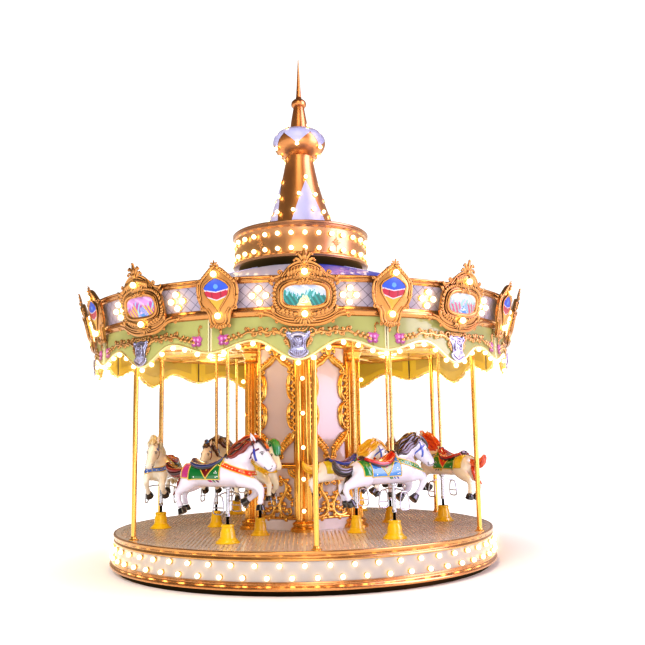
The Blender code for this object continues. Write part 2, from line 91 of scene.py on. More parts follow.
def smooth_path(points, count):
    """Evenly spread points on a smooth curve through a few points."""
    last = len(points) - 1
    made = []
    for step in range(count + 1):
        place = step / count * last
        part = min(int(place), last - 1)
        t = place - part
        four = [points[min(max(part + shift, 0), last)] for shift in (-1, 0, 1, 2)]
        made.append(tuple(0.5 * (2 * b + (c - a) * t + (2 * a - 5 * b + 4 * c - d) * t ** 2
                                 + (3 * b - a - 3 * c + d) * t ** 3) for a, b, c, d in zip(*four)))
    return made


def colour(code):
    """A linear colour from a six-digit screen colour."""
    parts = [int(code[place:place + 2], 16) / 255 for place in (1, 3, 5)]
    return tuple(((part + 0.055) / 1.055) ** 2.4 if part > 0.04 else part / 12.92 for part in parts)


# Paint and metal

class Wire:
    """A shader socket whose sums are written as Python sums."""

    def __init__(self, finish, socket):
        self.finish = finish
        self.socket = socket

    def maths(self, operation, *values):
        return self.finish.node("Math", {"operation": operation}, dict(enumerate(values)), "Value")

    def __add__(self, other):
        return self.maths("ADD", self, other)

    def __sub__(self, other):
        return self.maths("SUBTRACT", self, other)

    def __rsub__(self, other):
        return self.maths("SUBTRACT", other, self)

    def __mul__(self, other):
        return self.maths("MULTIPLY", self, other)

    def __truediv__(self, other):
        return self.maths("DIVIDE", self, other)

    def __abs__(self):
        return self.maths("ABSOLUTE", self)

    def __lt__(self, other):
        return self.maths("LESS_THAN", self, other)

    __radd__ = __add__
    __rmul__ = __mul__

    def cycle(self):
        """The part after the point, for what repeats."""
        return self.maths("FRACT", self)

    def clamped(self):
        return self.finish.node("Clamp", {}, {"Value": self}, "Result")


class Finish:
    """One material, built from nodes."""

    def __init__(self, name):
        self.material = bpy.data.materials.new(name)
        self.material.use_nodes = True
        self.tree = self.material.node_tree
        self.shader = self.tree.nodes["Principled BSDF"]

    def node(self, kind, settings, sockets, result):
        """One node: its settings first, then its sockets, and the output that is wanted."""
        made = self.tree.nodes.new("ShaderNode" + kind)
        for name, value in settings.items():
            if name == "stops":
                self.set_stops(made.color_ramp, value)
            else:
                setattr(made, name, value)
        for name, value in sockets.items():
            self.feed(made.inputs[name], value)
        return Wire(self, made.outputs[result])

    def feed(self, socket, value):
        if isinstance(value, Wire):
            self.tree.links.new(value.socket, socket)
        else:
            socket.default_value = value

    def set_stops(self, ramp, stops):
        while len(ramp.elements) < len(stops):
            ramp.elements.new(0.5)
        for element, (place, shade) in zip(ramp.elements, stops):
            element.position = place
            element.color = (*shade, 1)

    def place(self):
        return self.node("TexCoord", {}, {}, "Object")

    def flat_place(self):
        """The piece's own UV map as two numbers."""
        flat = self.node("TexCoord", {}, {}, "UV")
        split = self.tree.nodes.new("ShaderNodeSeparateXYZ")
        self.tree.links.new(flat.socket, split.inputs[0])
        return Wire(self, split.outputs[0]), Wire(self, split.outputs[1])

    def noise(self, scale, detail=3.0, rough=0.5, stretch=None):
        where = self.place()
        if stretch:
            where = self.node("Mapping", {}, {"Vector": where, "Scale": stretch}, "Vector")
        return self.node("TexNoise", {}, {"Vector": where, "Scale": scale, "Detail": detail,
                                          "Roughness": rough}, "Fac")

    def blend(self, share, first, second, mode="MIX"):
        if isinstance(first, tuple):
            first = (*first[:3], 1)
        if isinstance(second, tuple):
            second = (*second[:3], 1)
        sockets = {0: share, 6: first, 7: second}
        return self.node("Mix", {"data_type": "RGBA", "blend_type": mode}, sockets, 2)

    def bump(self, height, strength=0.3, distance=0.002):
        return self.node("Bump", {}, {"Height": height, "Strength": strength, "Distance": distance},
                         "Normal")

    def done(self, **sockets):
        for name, value in sockets.items():
            if isinstance(value, tuple):
                value = (*value[:3], 1)
            self.feed(self.shader.inputs[name.replace("_", " ")], value)
        return self.material


def gold_leaf(name, deep, light, rough, hollow_shade="#5a2a0a"):
    """Warm metallic paint with painted shade: it stays bright where it stands proud and darkens where it lies
    deep in a carving.
    """
    finish = Finish(name)
    broad = finish.noise(2.5)
    fine = finish.noise(60.0, 4.0)
    # An ambient-occlusion mask paints shade into the colour: deep hollows turn towards the last colour given
    # and grow rougher.
    settings = {"samples": 4, "only_local": True}
    air = finish.node("AmbientOcclusion", settings, {"Distance": 0.035}, "AO")
    depth = ((1 - air) * 1.7 - 0.25).clamped()
    tone = finish.blend(broad * 0.7, colour(light), colour(deep))
    tone = finish.blend(depth, tone, colour(hollow_shade))
    tone = finish.blend(fine * 0.05, tone, colour("#8a4410"), "MULTIPLY")
    return finish.done(Base_Color=tone, Metallic=0.92, Roughness=rough + fine * 0.04 + depth * 0.2,
                       Coat_Weight=0.4, Coat_Roughness=0.15, Normal=finish.bump(fine, 0.015, 0.001))


def enamel(name, code, rough, dirt="#8d7a5c", coat=0.3):
    """Smooth paint with faint clouding and a trace of grime."""
    finish = Finish(name)
    broad = finish.noise(5.0)
    fine = finish.noise(90.0, 5.0)
    grime = ((finish.noise(14.0, 6.0, 0.65) - 0.52) * 3).clamped()
    tone = finish.blend(broad * 0.25, colour(code), (1.0, 1.0, 1.0), "SOFT_LIGHT")
    tone = finish.blend(grime * 0.18, tone, colour(dirt))
    return finish.done(Base_Color=tone, Roughness=rough + grime * 0.2, Coat_Weight=coat,
                       Normal=finish.bump(fine, 0.08, 0.0008))


def painted(name, rough, coat, sheen_scale=40.0):
    """Hand-laid colour from the piece's own paint, with brush streaks under a clear coat."""
    finish = Finish(name)
    laid = finish.node("Attribute", {"attribute_name": "paint"}, {}, "Color")
    streaks = finish.noise(sheen_scale, 4.0, 0.6, (1.0, 1.0, 0.35))
    cloud = finish.noise(8.0, 3.0)
    tone = finish.blend(streaks * 0.22, laid, (0.5, 0.5, 0.5), "SOFT_LIGHT")
    tone = finish.blend(cloud * 0.12, tone, colour("#6b5a48"), "MULTIPLY")
    return finish.done(Base_Color=tone, Roughness=rough + streaks * 0.1, Coat_Weight=coat,
                       Normal=finish.bump(streaks, 0.1, 0.001))


def bright_metal(name, code, rough):
    """Plated or polished metal with fine drawn lines."""
    finish = Finish(name)
    lines = finish.noise(30.0, 4.0, 0.6, (1.0, 1.0, 0.05))
    spots = finish.noise(18.0, 5.0, 0.6)
    tone = finish.blend(spots * 0.3, colour(code), colour("#5e5348"), "MULTIPLY")
    return finish.done(Base_Color=tone, Metallic=1.0, Roughness=rough + lines * 0.15,
                       Normal=finish.bump(lines, 0.08, 0.0006))


def tread_metal():
    """Worn aluminium plate, polished in the paths of feet and dull between."""
    finish = Finish("tread_metal")
    wear = finish.noise(2.6, 5.0, 0.6)
    grain = finish.noise(140.0, 3.0)
    tone = finish.blend(wear, colour("#cabaae"), colour("#eee2d4"))
    tone = finish.blend((grain - 0.3).clamped() * 0.2, tone, colour("#9c9092"))
    return finish.done(Base_Color=tone, Metallic=0.35, Roughness=0.16 + wear * 0.16,
                       Normal=finish.bump(grain, 0.1, 0.001))


def lattice_enamel():
    """The cornice band: pale lilac enamel with a diamond lattice of fine ruled lines."""
    finish = Finish("lattice_enamel")
    across, height = finish.flat_place()
    pitch = 0.105
    width = 0.035
    rising = abs(((across + height * 1.15) / pitch).cycle() - 0.5)
    falling = abs(((across - height * 1.15) / pitch).cycle() - 0.5)
    ruled = 1 - (1 - (rising < width)) * (1 - (falling < width))
    cloud = finish.noise(7.0)
    ground = finish.blend(cloud, colour("#8e88a4"), colour("#9e96a8"))
    tone = finish.blend(ruled, ground, colour("#443e5c"))
    return finish.done(Base_Color=tone, Roughness=0.32 + cloud * 0.1, Coat_Weight=0.3,
                       Normal=finish.bump(1 - ruled, 0.5, 0.002))


def panel_gloss():
    """Glossy pink-cream sheet of the centre column, with a soft mottled depth."""
    finish = Finish("panel_gloss")
    cloud = finish.noise(1.6, 2.0)
    fine = finish.noise(120.0, 4.0)
    tone = finish.blend(cloud, colour("#d8c2ba"), colour("#cdc3d0"))
    return finish.done(Base_Color=tone, Roughness=0.16 + fine * 0.08, Coat_Weight=0.6,
                       Normal=finish.bump(cloud, 0.05, 0.002))


def lamp_glow():
    """Warm light of a faintly mottled frosted globe."""
    finish = Finish("lamp_glow")
    frost = finish.noise(120.0, 2.0)
    glow = finish.blend(frost * 0.25, colour("#ffdf9e"), colour("#ffcc80"))
    made = finish.done(Base_Color=colour("#fff3dc"), Roughness=0.4, Emission_Color=glow)
    finish.shader.inputs["Emission Strength"].default_value = 4.6
    return made


def twisted_brass():
    """Polished brass of the horse poles with its rope twist worn bright."""
    finish = Finish("twisted_brass")
    wear = finish.noise(12.0, 4.0)
    tone = finish.blend(wear, colour("#c08a48"), colour("#ffdc98"))
    return finish.done(Base_Color=tone, Metallic=1.0, Roughness=0.18 + wear * 0.18,
                       Normal=finish.bump(wear, 0.05, 0.001))


# The last colour given to each gold, or the default one, is the painted shade of its hollows.
GOLD = gold_leaf("gold_leaf", "#cf8a30", "#ffc45c", 0.17, "#7a3c0a")
CARVED = gold_leaf("gold_carving", "#cc8830", "#ffce6c", 0.2, "#5a2a08")
FRAME_GOLD = gold_leaf("frame_gold", "#8c5226", "#dc9c56", 0.2, "#301608")
GOLD_SMOOTH = gold_leaf("gold_tube", "#d89430", "#ffcc6c", 0.15)
RIM_GOLD = gold_leaf("rim_gold", "#a66c38", "#dea868", 0.2)
PALE_GOLD = gold_leaf("pale_gold", "#e8c878", "#fff0b8", 0.26)
GILT = gold_leaf("rose_gilding", "#9c602e", "#dc9c5c", 0.2, "#40200c")
CROWN_GOLD = gold_leaf("crown_gold", "#a0663a", "#d0986c", 0.28, "#40200c")
BRONZE = gold_leaf("bronze_gold", "#b86828", "#e09c60", 0.3, "#301408")
BASE_GOLD = gold_leaf("base_gold", "#ac6834", "#e6a468", 0.22, "#4a1e0c")
SKIRT_WHITE = enamel("skirt_enamel", "#a49e9e", 0.3, coat=0.3)
LILAC = enamel("lilac_enamel", "#aeb0de", 0.3)
PLINTH_WHITE = enamel("plinth_white", "#efe6ea", 0.35)
SAGE = enamel("sage_enamel", "#9c9e60", 0.3)
OLIVE = enamel("olive_enamel", "#b8a41c", 0.4, coat=0.1)
OLIVE_DARK = enamel("olive_recess", "#a08c1a", 0.42, coat=0.1)
BLACK = enamel("black_paint", "#040303", 0.75, "#0e0b0a", 0.0)
YELLOW = enamel("yellow_moulding", "#ecb80c", 0.24, "#c09010", 0.5)
BLACK.node_tree.nodes["Principled BSDF"].inputs["Specular IOR Level"].default_value = 0.03
VINE_GOLD = gold_leaf("vine_gold", "#a8703a", "#dca462", 0.24, "#402010")
SILVER = gold_leaf("silver_blue", "#7478b8", "#c9cdf0", 0.25)
HORSE_PAINT = painted("horse_paint", 0.12, 0.9)
PANEL_PAINT = painted("panel_paint", 0.34, 0.2, 25.0)
CHROME = bright_metal("chrome_tube", "#c8c8ce", 0.12)
BRASS = twisted_brass()
TREAD = tread_metal()
TREAD_BAR = bright_metal("tread_bar_metal", "#f4e8d8", 0.2)
LATTICE = lattice_enamel()
PANEL_GLOSS = panel_gloss()
LAMP = lamp_glow()


# Shapes

class Shape:
    """Points and faces of one piece, with a paint number for each face."""

    def __init__(self):
        self.points = []
        self.faces = []
        self.paints = []

    def band(self, rows, paint=0, caps=False):
        """Faces between rows of points."""
        first = len(self.points)
        width = len(rows[0])
        for row in rows:
            self.points.extend(row)
        for row in range(len(rows) - 1):
            start = first + row * width
            for step in range(width):
                after = (step + 1) % width
                self.faces.append((start + step, start + after, start + width + after,
                                   start + width + step))
                self.paints.append(paint)
        if caps:
            last = first + (len(rows) - 1) * width
            self.faces.append(tuple(range(first + width - 1, first - 1, -1)))
            self.faces.append(tuple(range(last, last + width)))
            self.paints.extend((paint, paint))

    def tube(self, path, radii, sides=8, paint=0, flat=1.0, up=None):
        """A tube of changing radius along a path; up keeps a relief square to its ground."""
        rows = []
        side = None
        for place, point in enumerate(path):
            before = path[max(place - 1, 0)]
            after = path[min(place + 1, len(path) - 1)]
            along = (after - before).normalized()
            if up is not None:
                side = along.cross(up).normalized()
                rise = up
            else:
                if side is None:
                    side = along.orthogonal().normalized()
                side = (side - along * side.dot(along)).normalized()
                rise = side.cross(along).normalized()
            radius = radii[place] if isinstance(radii, list) else radii
            row = []
            for step in range(sides):
                turn = 2 * math.pi * step / sides
                row.append(point + side * (radius * math.cos(turn)) + rise
                           * (radius * flat * math.sin(turn)))
            rows.append(row)
        self.band(rows, paint, caps=True)

    def turned(self, profile, sides=SMOOTH_SIDES, centre=Vector((0, 0, 0)), closed=True):
        """An (r, z) outline turned about an upright axis."""
        rows = []
        for radius, height in profile:
            row = []
            for step in range(sides):
                turn = 2 * math.pi * step / sides
                row.append(centre + Vector((radius * math.cos(turn), radius * math.sin(turn), height)))
            rows.append(row)
        if closed:
            rows.append(rows[0])
        self.band(rows, caps=not closed)

    def sheet(self, point_of, across, along, paint=0, paint_of=None):
        """A grid of faces over point_of(u, v), each from 0 to 1."""
        first = len(self.points)
        for row in range(along + 1):
            for step in range(across + 1):
                self.points.append(point_of(step / across, row / along))
        for row in range(along):
            for step in range(across):
                start = first + row * (across + 1) + step
                self.faces.append((start, start + 1, start + across + 2, start + across + 1))
                if paint_of:
                    self.paints.append(paint_of((step + 0.5) / across, (row + 0.5) / along))
                else:
                    self.paints.append(paint)

    def slab(self, point_of, across, along, depth, paint=0):
        """A sheet with a back and edges; depth is the step from its face to its back."""
        first = len(self.points)
        self.sheet(point_of, across, along, paint)
        count = len(self.points) - first
        self.points.extend(self.points[first + place] + depth for place in range(count))
        for row in range(along):
            for step in range(across):
                start = first + count + row * (across + 1) + step
                self.faces.append((start + across + 1, start + across + 2, start + 1, start))
                self.paints.append(paint)
        rim = [first + step for step in range(across + 1)]
        rim += [first + row * (across + 1) + across for row in range(1, along + 1)]
        rim += [first + along * (across + 1) + step for step in range(across - 1, -1, -1)]
        rim += [first + row * (across + 1) for row in range(along - 1, 0, -1)]
        for place, here in enumerate(rim):
            after = rim[(place + 1) % len(rim)]
            self.faces.append((here, here + count, after + count, after))
            self.paints.append(paint)

    def ball(self, centre, radii, paint=0, sides=12, rings=8):
        """A round or egg-shaped body."""
        rows = []
        for ring in range(1, rings):
            lean = math.pi * ring / rings
            row = []
            for step in range(sides):
                turn = 2 * math.pi * step / sides
                offset = Vector((radii[0] * math.sin(lean) * math.cos(turn),
                                 radii[1] * math.sin(lean) * math.sin(turn), -radii[2] * math.cos(lean)))
                row.append(centre + offset)
            rows.append(row)
        self.band(rows, paint, caps=True)

    def add(self, other, place_of=lambda point: point):
        """Another shape, with each of its points moved by place_of."""
        first = len(self.points)
        self.points.extend(place_of(point) for point in other.points)
        self.faces.extend(tuple(first + corner for corner in face) for face in other.faces)
        self.paints.extend(other.paints)

    def moved(self, place_of):
        """A copy, with each of its points moved by place_of."""
        copy = Shape()
        copy.add(self, place_of)
        return copy

    def piece(self, name, material, smooth=45, palette=None, flat_map=None, merge=True):
        """A finished object at the origin."""
        mesh = bpy.data.meshes.new(name)
        mesh.from_pydata([tuple(point) for point in self.points], [], self.faces)
        mesh.materials.append(material)
        if palette:
            laid = mesh.color_attributes.new("paint", "FLOAT_COLOR", "CORNER")
            shades = [(*shade, 1.0) for shade in palette]
            values = []
            for face, paint in zip(mesh.polygons, self.paints):
                values.extend(shades[paint] * face.loop_total)
            laid.data.foreach_set("color", values)
        if flat_map:
            layer = mesh.uv_layers.new(name="flat")
            for loop in mesh.loops:
                layer.data[loop.index].uv = flat_map(mesh.vertices[loop.vertex_index].co)
        if merge:
            tidy = bmesh.new()
            tidy.from_mesh(mesh)
            bmesh.ops.remove_doubles(tidy, verts=tidy.verts, dist=0.00002)
            bmesh.ops.recalc_face_normals(tidy, faces=tidy.faces)
            tidy.to_mesh(mesh)
            tidy.free()
        mesh.shade_smooth()
        mesh.set_sharp_from_angle(angle=math.radians(smooth))
        made = bpy.data.objects.new(name, mesh)
        bpy.context.scene.collection.objects.link(made)
        return made


def settle(piece, slot, *nodes, body=TURNTABLE):
    """Fix a piece to its body and let it stand for nodes of the frame, which it hides; the slot is not used.
    """
    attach(piece, body)
    if nodes:
        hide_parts(*nodes)
    return piece


# Repeats

class Growth:
    """A Geometry Nodes tree with named inputs, which ends in Realize Instances and Set Material."""

    def __init__(self, name, inputs):
        self.tree = bpy.data.node_groups.new(name, "GeometryNodeTree")
        self.tree.interface.new_socket("Geometry", in_out="INPUT", socket_type="NodeSocketGeometry")
        for label, kind in inputs.items():
            self.tree.interface.new_socket(label, in_out="INPUT", socket_type="NodeSocket" + kind)
        self.tree.interface.new_socket("Finish", in_out="INPUT", socket_type="NodeSocketMaterial")
        self.tree.interface.new_socket("Geometry", in_out="OUTPUT", socket_type="NodeSocketGeometry")
        self.given = self.tree.nodes.new("NodeGroupInput").outputs

    def node(self, kind, settings, sockets, result=0):
        made = self.tree.nodes.new(kind)
        for name, value in settings.items():
            setattr(made, name, value)
        for name, value in sockets.items():
            if isinstance(value, bpy.types.NodeSocket):
                self.tree.links.new(value, made.inputs[name])
            else:
                made.inputs[name].default_value = value
        return made.outputs[result]

    def maths(self, operation, first, second):
        return self.node("ShaderNodeMath", {"operation": operation}, {0: first, 1: second})

    def end(self, instances):
        real = self.node("GeometryNodeRealizeInstances", {}, {"Geometry": instances})
        set_in = {"Geometry": real, "Material": self.given["Finish"]}
        finished = self.node("GeometryNodeSetMaterial", {}, set_in)
        self.tree.links.new(finished, self.tree.nodes.new("NodeGroupOutput").inputs[0])

    def grow(self, source, name, material, smooth=45, **values):
        """Runs the tree on a source object, which it uses up, and returns a plain piece."""
        modifier = source.modifiers.new("Growth", "NODES")
        modifier.node_group = self.tree
        values["Finish"] = material
        for item in self.tree.interface.items_tree:
            if item.in_out == "INPUT" and item.name in values:
                modifier[item.identifier] = values[item.name]
        depsgraph = bpy.context.evaluated_depsgraph_get()
        mesh = bpy.data.meshes.new_from_object(source.evaluated_get(depsgraph), depsgraph=depsgraph)
        source.modifiers.remove(modifier)
        bpy.data.objects.remove(source)
        mesh.name = name
        mesh.shade_smooth()
        mesh.set_sharp_from_angle(angle=math.radians(smooth))
        made = bpy.data.objects.new(name, mesh)
        bpy.context.scene.collection.objects.link(made)
        return made


def round_the_axis():
    """A tree that repeats its geometry about the turning axis, once for each point of Places."""
    growth = Growth("round_the_axis", {"Places": "Object"})
    places = growth.node("GeometryNodeObjectInfo", {}, {"Object": growth.given["Places"]}, "Geometry")
    turn = growth.node("GeometryNodeInputNamedAttribute", {"data_type": "FLOAT"}, {"Name": "turn"})
    turned = growth.node("ShaderNodeCombineXYZ", {}, {"Z": turn})
    copies = growth.node("GeometryNodeInstanceOnPoints", {},
                         {"Points": places, "Instance": growth.given["Geometry"], "Rotation": turned})
    growth.end(copies)
    return growth


def at_each_point():
    """A tree that stands a motif on each point, along the point's own facing."""
    growth = Growth("at_each_point", {"Motif": "Object"})
    motif = growth.node("GeometryNodeObjectInfo", {}, {"Object": growth.given["Motif"]}, "Geometry")
    facing = growth.node("GeometryNodeInputNamedAttribute", {"data_type": "FLOAT_VECTOR"},
                         {"Name": "facing"})
    turned = growth.node("FunctionNodeAlignRotationToVector", {"axis": "Z"}, {"Vector": facing})
    size = growth.node("GeometryNodeInputNamedAttribute", {"data_type": "FLOAT"}, {"Name": "size"})
    copies = growth.node("GeometryNodeInstanceOnPoints", {},
                         {"Points": growth.given["Geometry"], "Instance": motif, "Rotation": turned,
                          "Scale": size})
    growth.end(copies)
    return growth


def tread_bars():
    """A tree that lays raised bars over a round deck, each square to its neighbours."""
    growth = Growth("tread_bars", {"Motif": "Object", "Pitch": "Float", "Radius": "Float", "Hub": "Float",
                                   "Height": "Float"})
    motif = growth.node("GeometryNodeObjectInfo", {}, {"Object": growth.given["Motif"]}, "Geometry")
    width = growth.maths("MULTIPLY", growth.given["Radius"], 2.0)
    count = growth.maths("DIVIDE", width, growth.given["Pitch"])
    grid = growth.node("GeometryNodeMeshGrid", {}, {"Size X": width, "Size Y": width, "Vertices X": count,
                                                    "Vertices Y": count})
    place = growth.node("GeometryNodeInputPosition", {}, {})
    reach = growth.node("ShaderNodeVectorMath", {"operation": "LENGTH"}, {0: place}, "Value")
    outside = growth.maths("GREATER_THAN", reach, growth.given["Radius"])
    inside = growth.maths("LESS_THAN", reach, growth.given["Hub"])
    unwanted = growth.maths("MAXIMUM", outside, inside)
    kept = growth.node("GeometryNodeDeleteGeometry", {}, {"Geometry": grid, "Selection": unwanted})
    split = growth.node("ShaderNodeSeparateXYZ", {}, {0: place}, "X")
    across = growth.maths("DIVIDE", split, growth.given["Pitch"])
    down = growth.maths("DIVIDE", split.node.outputs["Y"], growth.given["Pitch"])
    total = growth.maths("ROUND", growth.maths("ADD", across, down), 0.0)
    parity = growth.maths("FLOORED_MODULO", total, 2.0)
    turn = growth.maths("ADD", growth.maths("MULTIPLY", parity, math.pi / 2), math.pi / 4)
    turned = growth.node("ShaderNodeCombineXYZ", {}, {"Z": turn})
    copies = growth.node("GeometryNodeInstanceOnPoints", {}, {"Points": kept, "Instance": motif,
                                                             "Rotation": turned})
    lift = growth.node("ShaderNodeCombineXYZ", {}, {"Z": growth.given["Height"]})
    raised = growth.node("GeometryNodeTranslateInstances", {}, {"Instances": copies, "Translation": lift,
                                                               "Local Space": False})
    growth.end(raised)
    return growth


ROUND_THE_AXIS = round_the_axis()
AT_EACH_POINT = at_each_point()
TREAD_BARS = tread_bars()


def repeat_panels(shape, name, material, count=PANEL_COUNT, first=0.0, palette=None, smooth=45,
                  angles=None):
    """One shape repeated round the axis as a single piece, evenly from the first angle or at given angles."""
    source = shape.piece(name + "_one", material, smooth, palette)
    turns = angles or [first + 360 * place / count for place in range(count)]
    mesh = bpy.data.meshes.new(name + "_places")
    mesh.from_pydata([(0, 0, 0)] * len(turns), [], [])
    laid = mesh.attributes.new("turn", "FLOAT", "POINT")
    laid.data.foreach_set("value", [math.radians(turn) for turn in turns])
    places = bpy.data.objects.new(name + "_places", mesh)
    piece = ROUND_THE_AXIS.grow(source, name, material, smooth, Places=places)
    bpy.data.objects.remove(places)
    return piece


def points_piece(name, spots):
    """A cloud of points, each with the way it faces."""
    mesh = bpy.data.meshes.new(name)
    mesh.from_pydata([tuple(point) for point, _, _ in spots], [], [])
    facing = mesh.attributes.new("facing", "FLOAT_VECTOR", "POINT")
    facing.data.foreach_set("vector", [number for _, way, _ in spots for number in way])
    sizes = mesh.attributes.new("size", "FLOAT", "POINT")
    sizes.data.foreach_set("value", [size for _, _, size in spots])
    made = bpy.data.objects.new(name, mesh)
    bpy.context.scene.collection.objects.link(made)
    return made


def line_piece(name, points):
    """A line of points joined by edges."""
    mesh = bpy.data.meshes.new(name)
    edges = [(place, place + 1) for place in range(len(points) - 1)]
    mesh.from_pydata([tuple(point) for point in points], edges, [])
    made = bpy.data.objects.new(name, mesh)
    bpy.context.scene.collection.objects.link(made)
    return made


def motif(shape, name, material):
    """A small shape that only the repeats use."""
    made = shape.piece(name, material, 50)
    made.hide_render = True
    return made


# Lamps

LAMP_SPOTS = []


def lamp(point, way, size=1.0):
    """Note one lamp: the point on its wall, the way it faces and its size."""
    LAMP_SPOTS.append((point, way.normalized(), size))


def make_lamps():
    """Every globe and its gold collar."""
    globe_radius = 0.021
    globe = Shape()
    globe.ball(Vector((0, 0, 0.026)), (globe_radius, globe_radius, globe_radius), sides=12, rings=7)
    collar = Shape()
    collar.turned([(0.01, -0.004), (0.023, -0.004), (0.024, 0.003), (0.014, 0.013)], 12)
    globe = motif(globe, "globe_motif", LAMP)
    collar = motif(collar, "collar_motif", GOLD)
    lit = AT_EACH_POINT.grow(points_piece("lamp_points", LAMP_SPOTS), "lamp_globes", LAMP,
                             Motif=globe)
    caps = AT_EACH_POINT.grow(points_piece("collar_points", LAMP_SPOTS), "lamp_collars", GOLD,
                              Motif=collar)
    settle(lit, "cream_enamel")
    settle(caps, "gold_paint")
    for used in (globe, collar):
        bpy.data.objects.remove(used)


# Relief carving, drawn flat as (across, out, height) before it is laid on its wall

def leaf(shape, start, heading, length, width, bend=0.0, lift=0.0, flat=0.5, paint=0):
    """A pointed leaf with a rounded back."""
    steps = 7
    across, height = start
    angle = math.radians(heading)
    path = []
    radii = []
    for place in range(steps + 1):
        share = place / steps
        path.append(Vector((across, -lift - 0.25 * width * math.sin(math.pi * share), height)))
        radii.append(0.5 * width * max(math.sin(math.pi * (0.08 + 0.9 * share)) ** 0.7, 0.05))
        angle += 2 * math.pi * bend * length / steps
        across += length / steps * math.cos(angle)
        height += length / steps * math.sin(angle)
    shape.tube(path, radii, 6, paint, flat, up=OUTWARDS)


def strip(shape, points, widths, lift=0.012, steps=20):
    """A moulding through a few (across, height) points, with widths spread along it."""
    path = [Vector((across, -lift, height)) for across, height in smooth_path(points, steps)]
    radii = []
    for place in range(steps + 1):
        share = place / steps * (len(widths) - 1)
        part = min(int(share), len(widths) - 2)
        radii.append(between(widths[part], widths[part + 1], share - part))
    shape.tube(path, radii, 6, flat=0.8, up=OUTWARDS)


def curl(shape, centre, radius, start, sweep, width, lift=0.014):
    """A spiral that winds in from its outer end to a small boss."""
    path = []
    radii = []
    for place in range(15):
        share = place / 14
        turn = math.radians(start + sweep * share)
        reach = radius * (1 - 0.72 * share)
        path.append(Vector((centre[0] + reach * math.cos(turn), -lift, centre[1] + reach * math.sin(turn))))
        radii.append(width * (1 - 0.35 * share))
    shape.tube(path, radii, 6, flat=0.9, up=OUTWARDS)
    shape.ball(path[-1] + Vector((0, -0.3 * width, 0)), (width * 1.05, width, width * 1.05), sides=8,
               rings=5)


def mirrored(half):
    """A half relief and its mirror image."""
    whole = Shape()
    whole.add(half)
    whole.add(half, lambda point: Vector((-point.x, point.y, point.z)))
    return whole


def on_wall(radius_of):
    """Lays flat relief on the round wall at the front: radius_of gives the wall's radius at a height."""
    def lay(point):
        radius = radius_of(point.z)
        angle = point.x / radius
        reach = radius - point.y
        return Vector((reach * math.sin(angle), -reach * math.cos(angle), point.z))
    return lay


def whole_outline(right_half, out=0.0):
    """A closed outline from the (across, height) points of its right half."""
    right = [Vector((across, -out, height)) for across, height in right_half]
    return right + [Vector((-point.x, point.y, point.z)) for point in reversed(right[1:-1])]


def ring_line(half_across, half_height, centre, count=48, out=0.0, power=2.0):
    """A rounded outline, squarer as power grows."""
    points = []
    for step in range(count):
        turn = 2 * math.pi * step / count
        c = math.cos(turn)
        s = math.sin(turn)
        x = half_across * math.copysign(abs(c) ** (2 / power), c)
        z = centre + half_height * math.copysign(abs(s) ** (2 / power), s)
        points.append(Vector((x, -out, z)))
    return points


def loop_tube(shape, points, radius, sides=8, flat=0.8):
    """A closed moulding along an outline."""
    rows = []
    for place, point in enumerate(points):
        along = (points[(place + 1) % len(points)] - points[place - 1]).normalized()
        side = along.cross(OUTWARDS).normalized()
        row = []
        for step in range(sides):
            turn = 2 * math.pi * step / sides
            row.append(point + side * (radius * math.cos(turn)) + OUTWARDS
                       * (radius * flat * math.sin(turn)))
        rows.append(row)
    rows.append(rows[0])
    shape.band(rows)


def filled_outline(shape, outline, out, depth, dome):
    """A plate inside an outline, domed towards its middle, with its edge turned back."""
    centre = sum((point for point in outline), Vector()) / len(outline)
    rings = []
    for share in (1.0, 0.94, 0.8, 0.55, 0.28):
        rise = out + dome * (1 - share ** 2)
        rings.append([Vector((centre.x + (point.x - centre.x) * share, -rise,
                              centre.z + (point.z - centre.z) * share)) for point in outline])
    back = [Vector((point.x, -out + depth, point.z)) for point in outline]
    shape.band([back] + rings, caps=True)


# Platform

def ogee(low, high, steps=6):
    """Points of a smooth S-shaped step between two (r, z) corners."""
    made = []
    for step in range(steps + 1):
        share = step / steps
        swing = (1 - math.cos(math.pi * share)) / 2
        made.append((between(low[0], high[0], swing), between(low[1], high[1], share)))
    return made


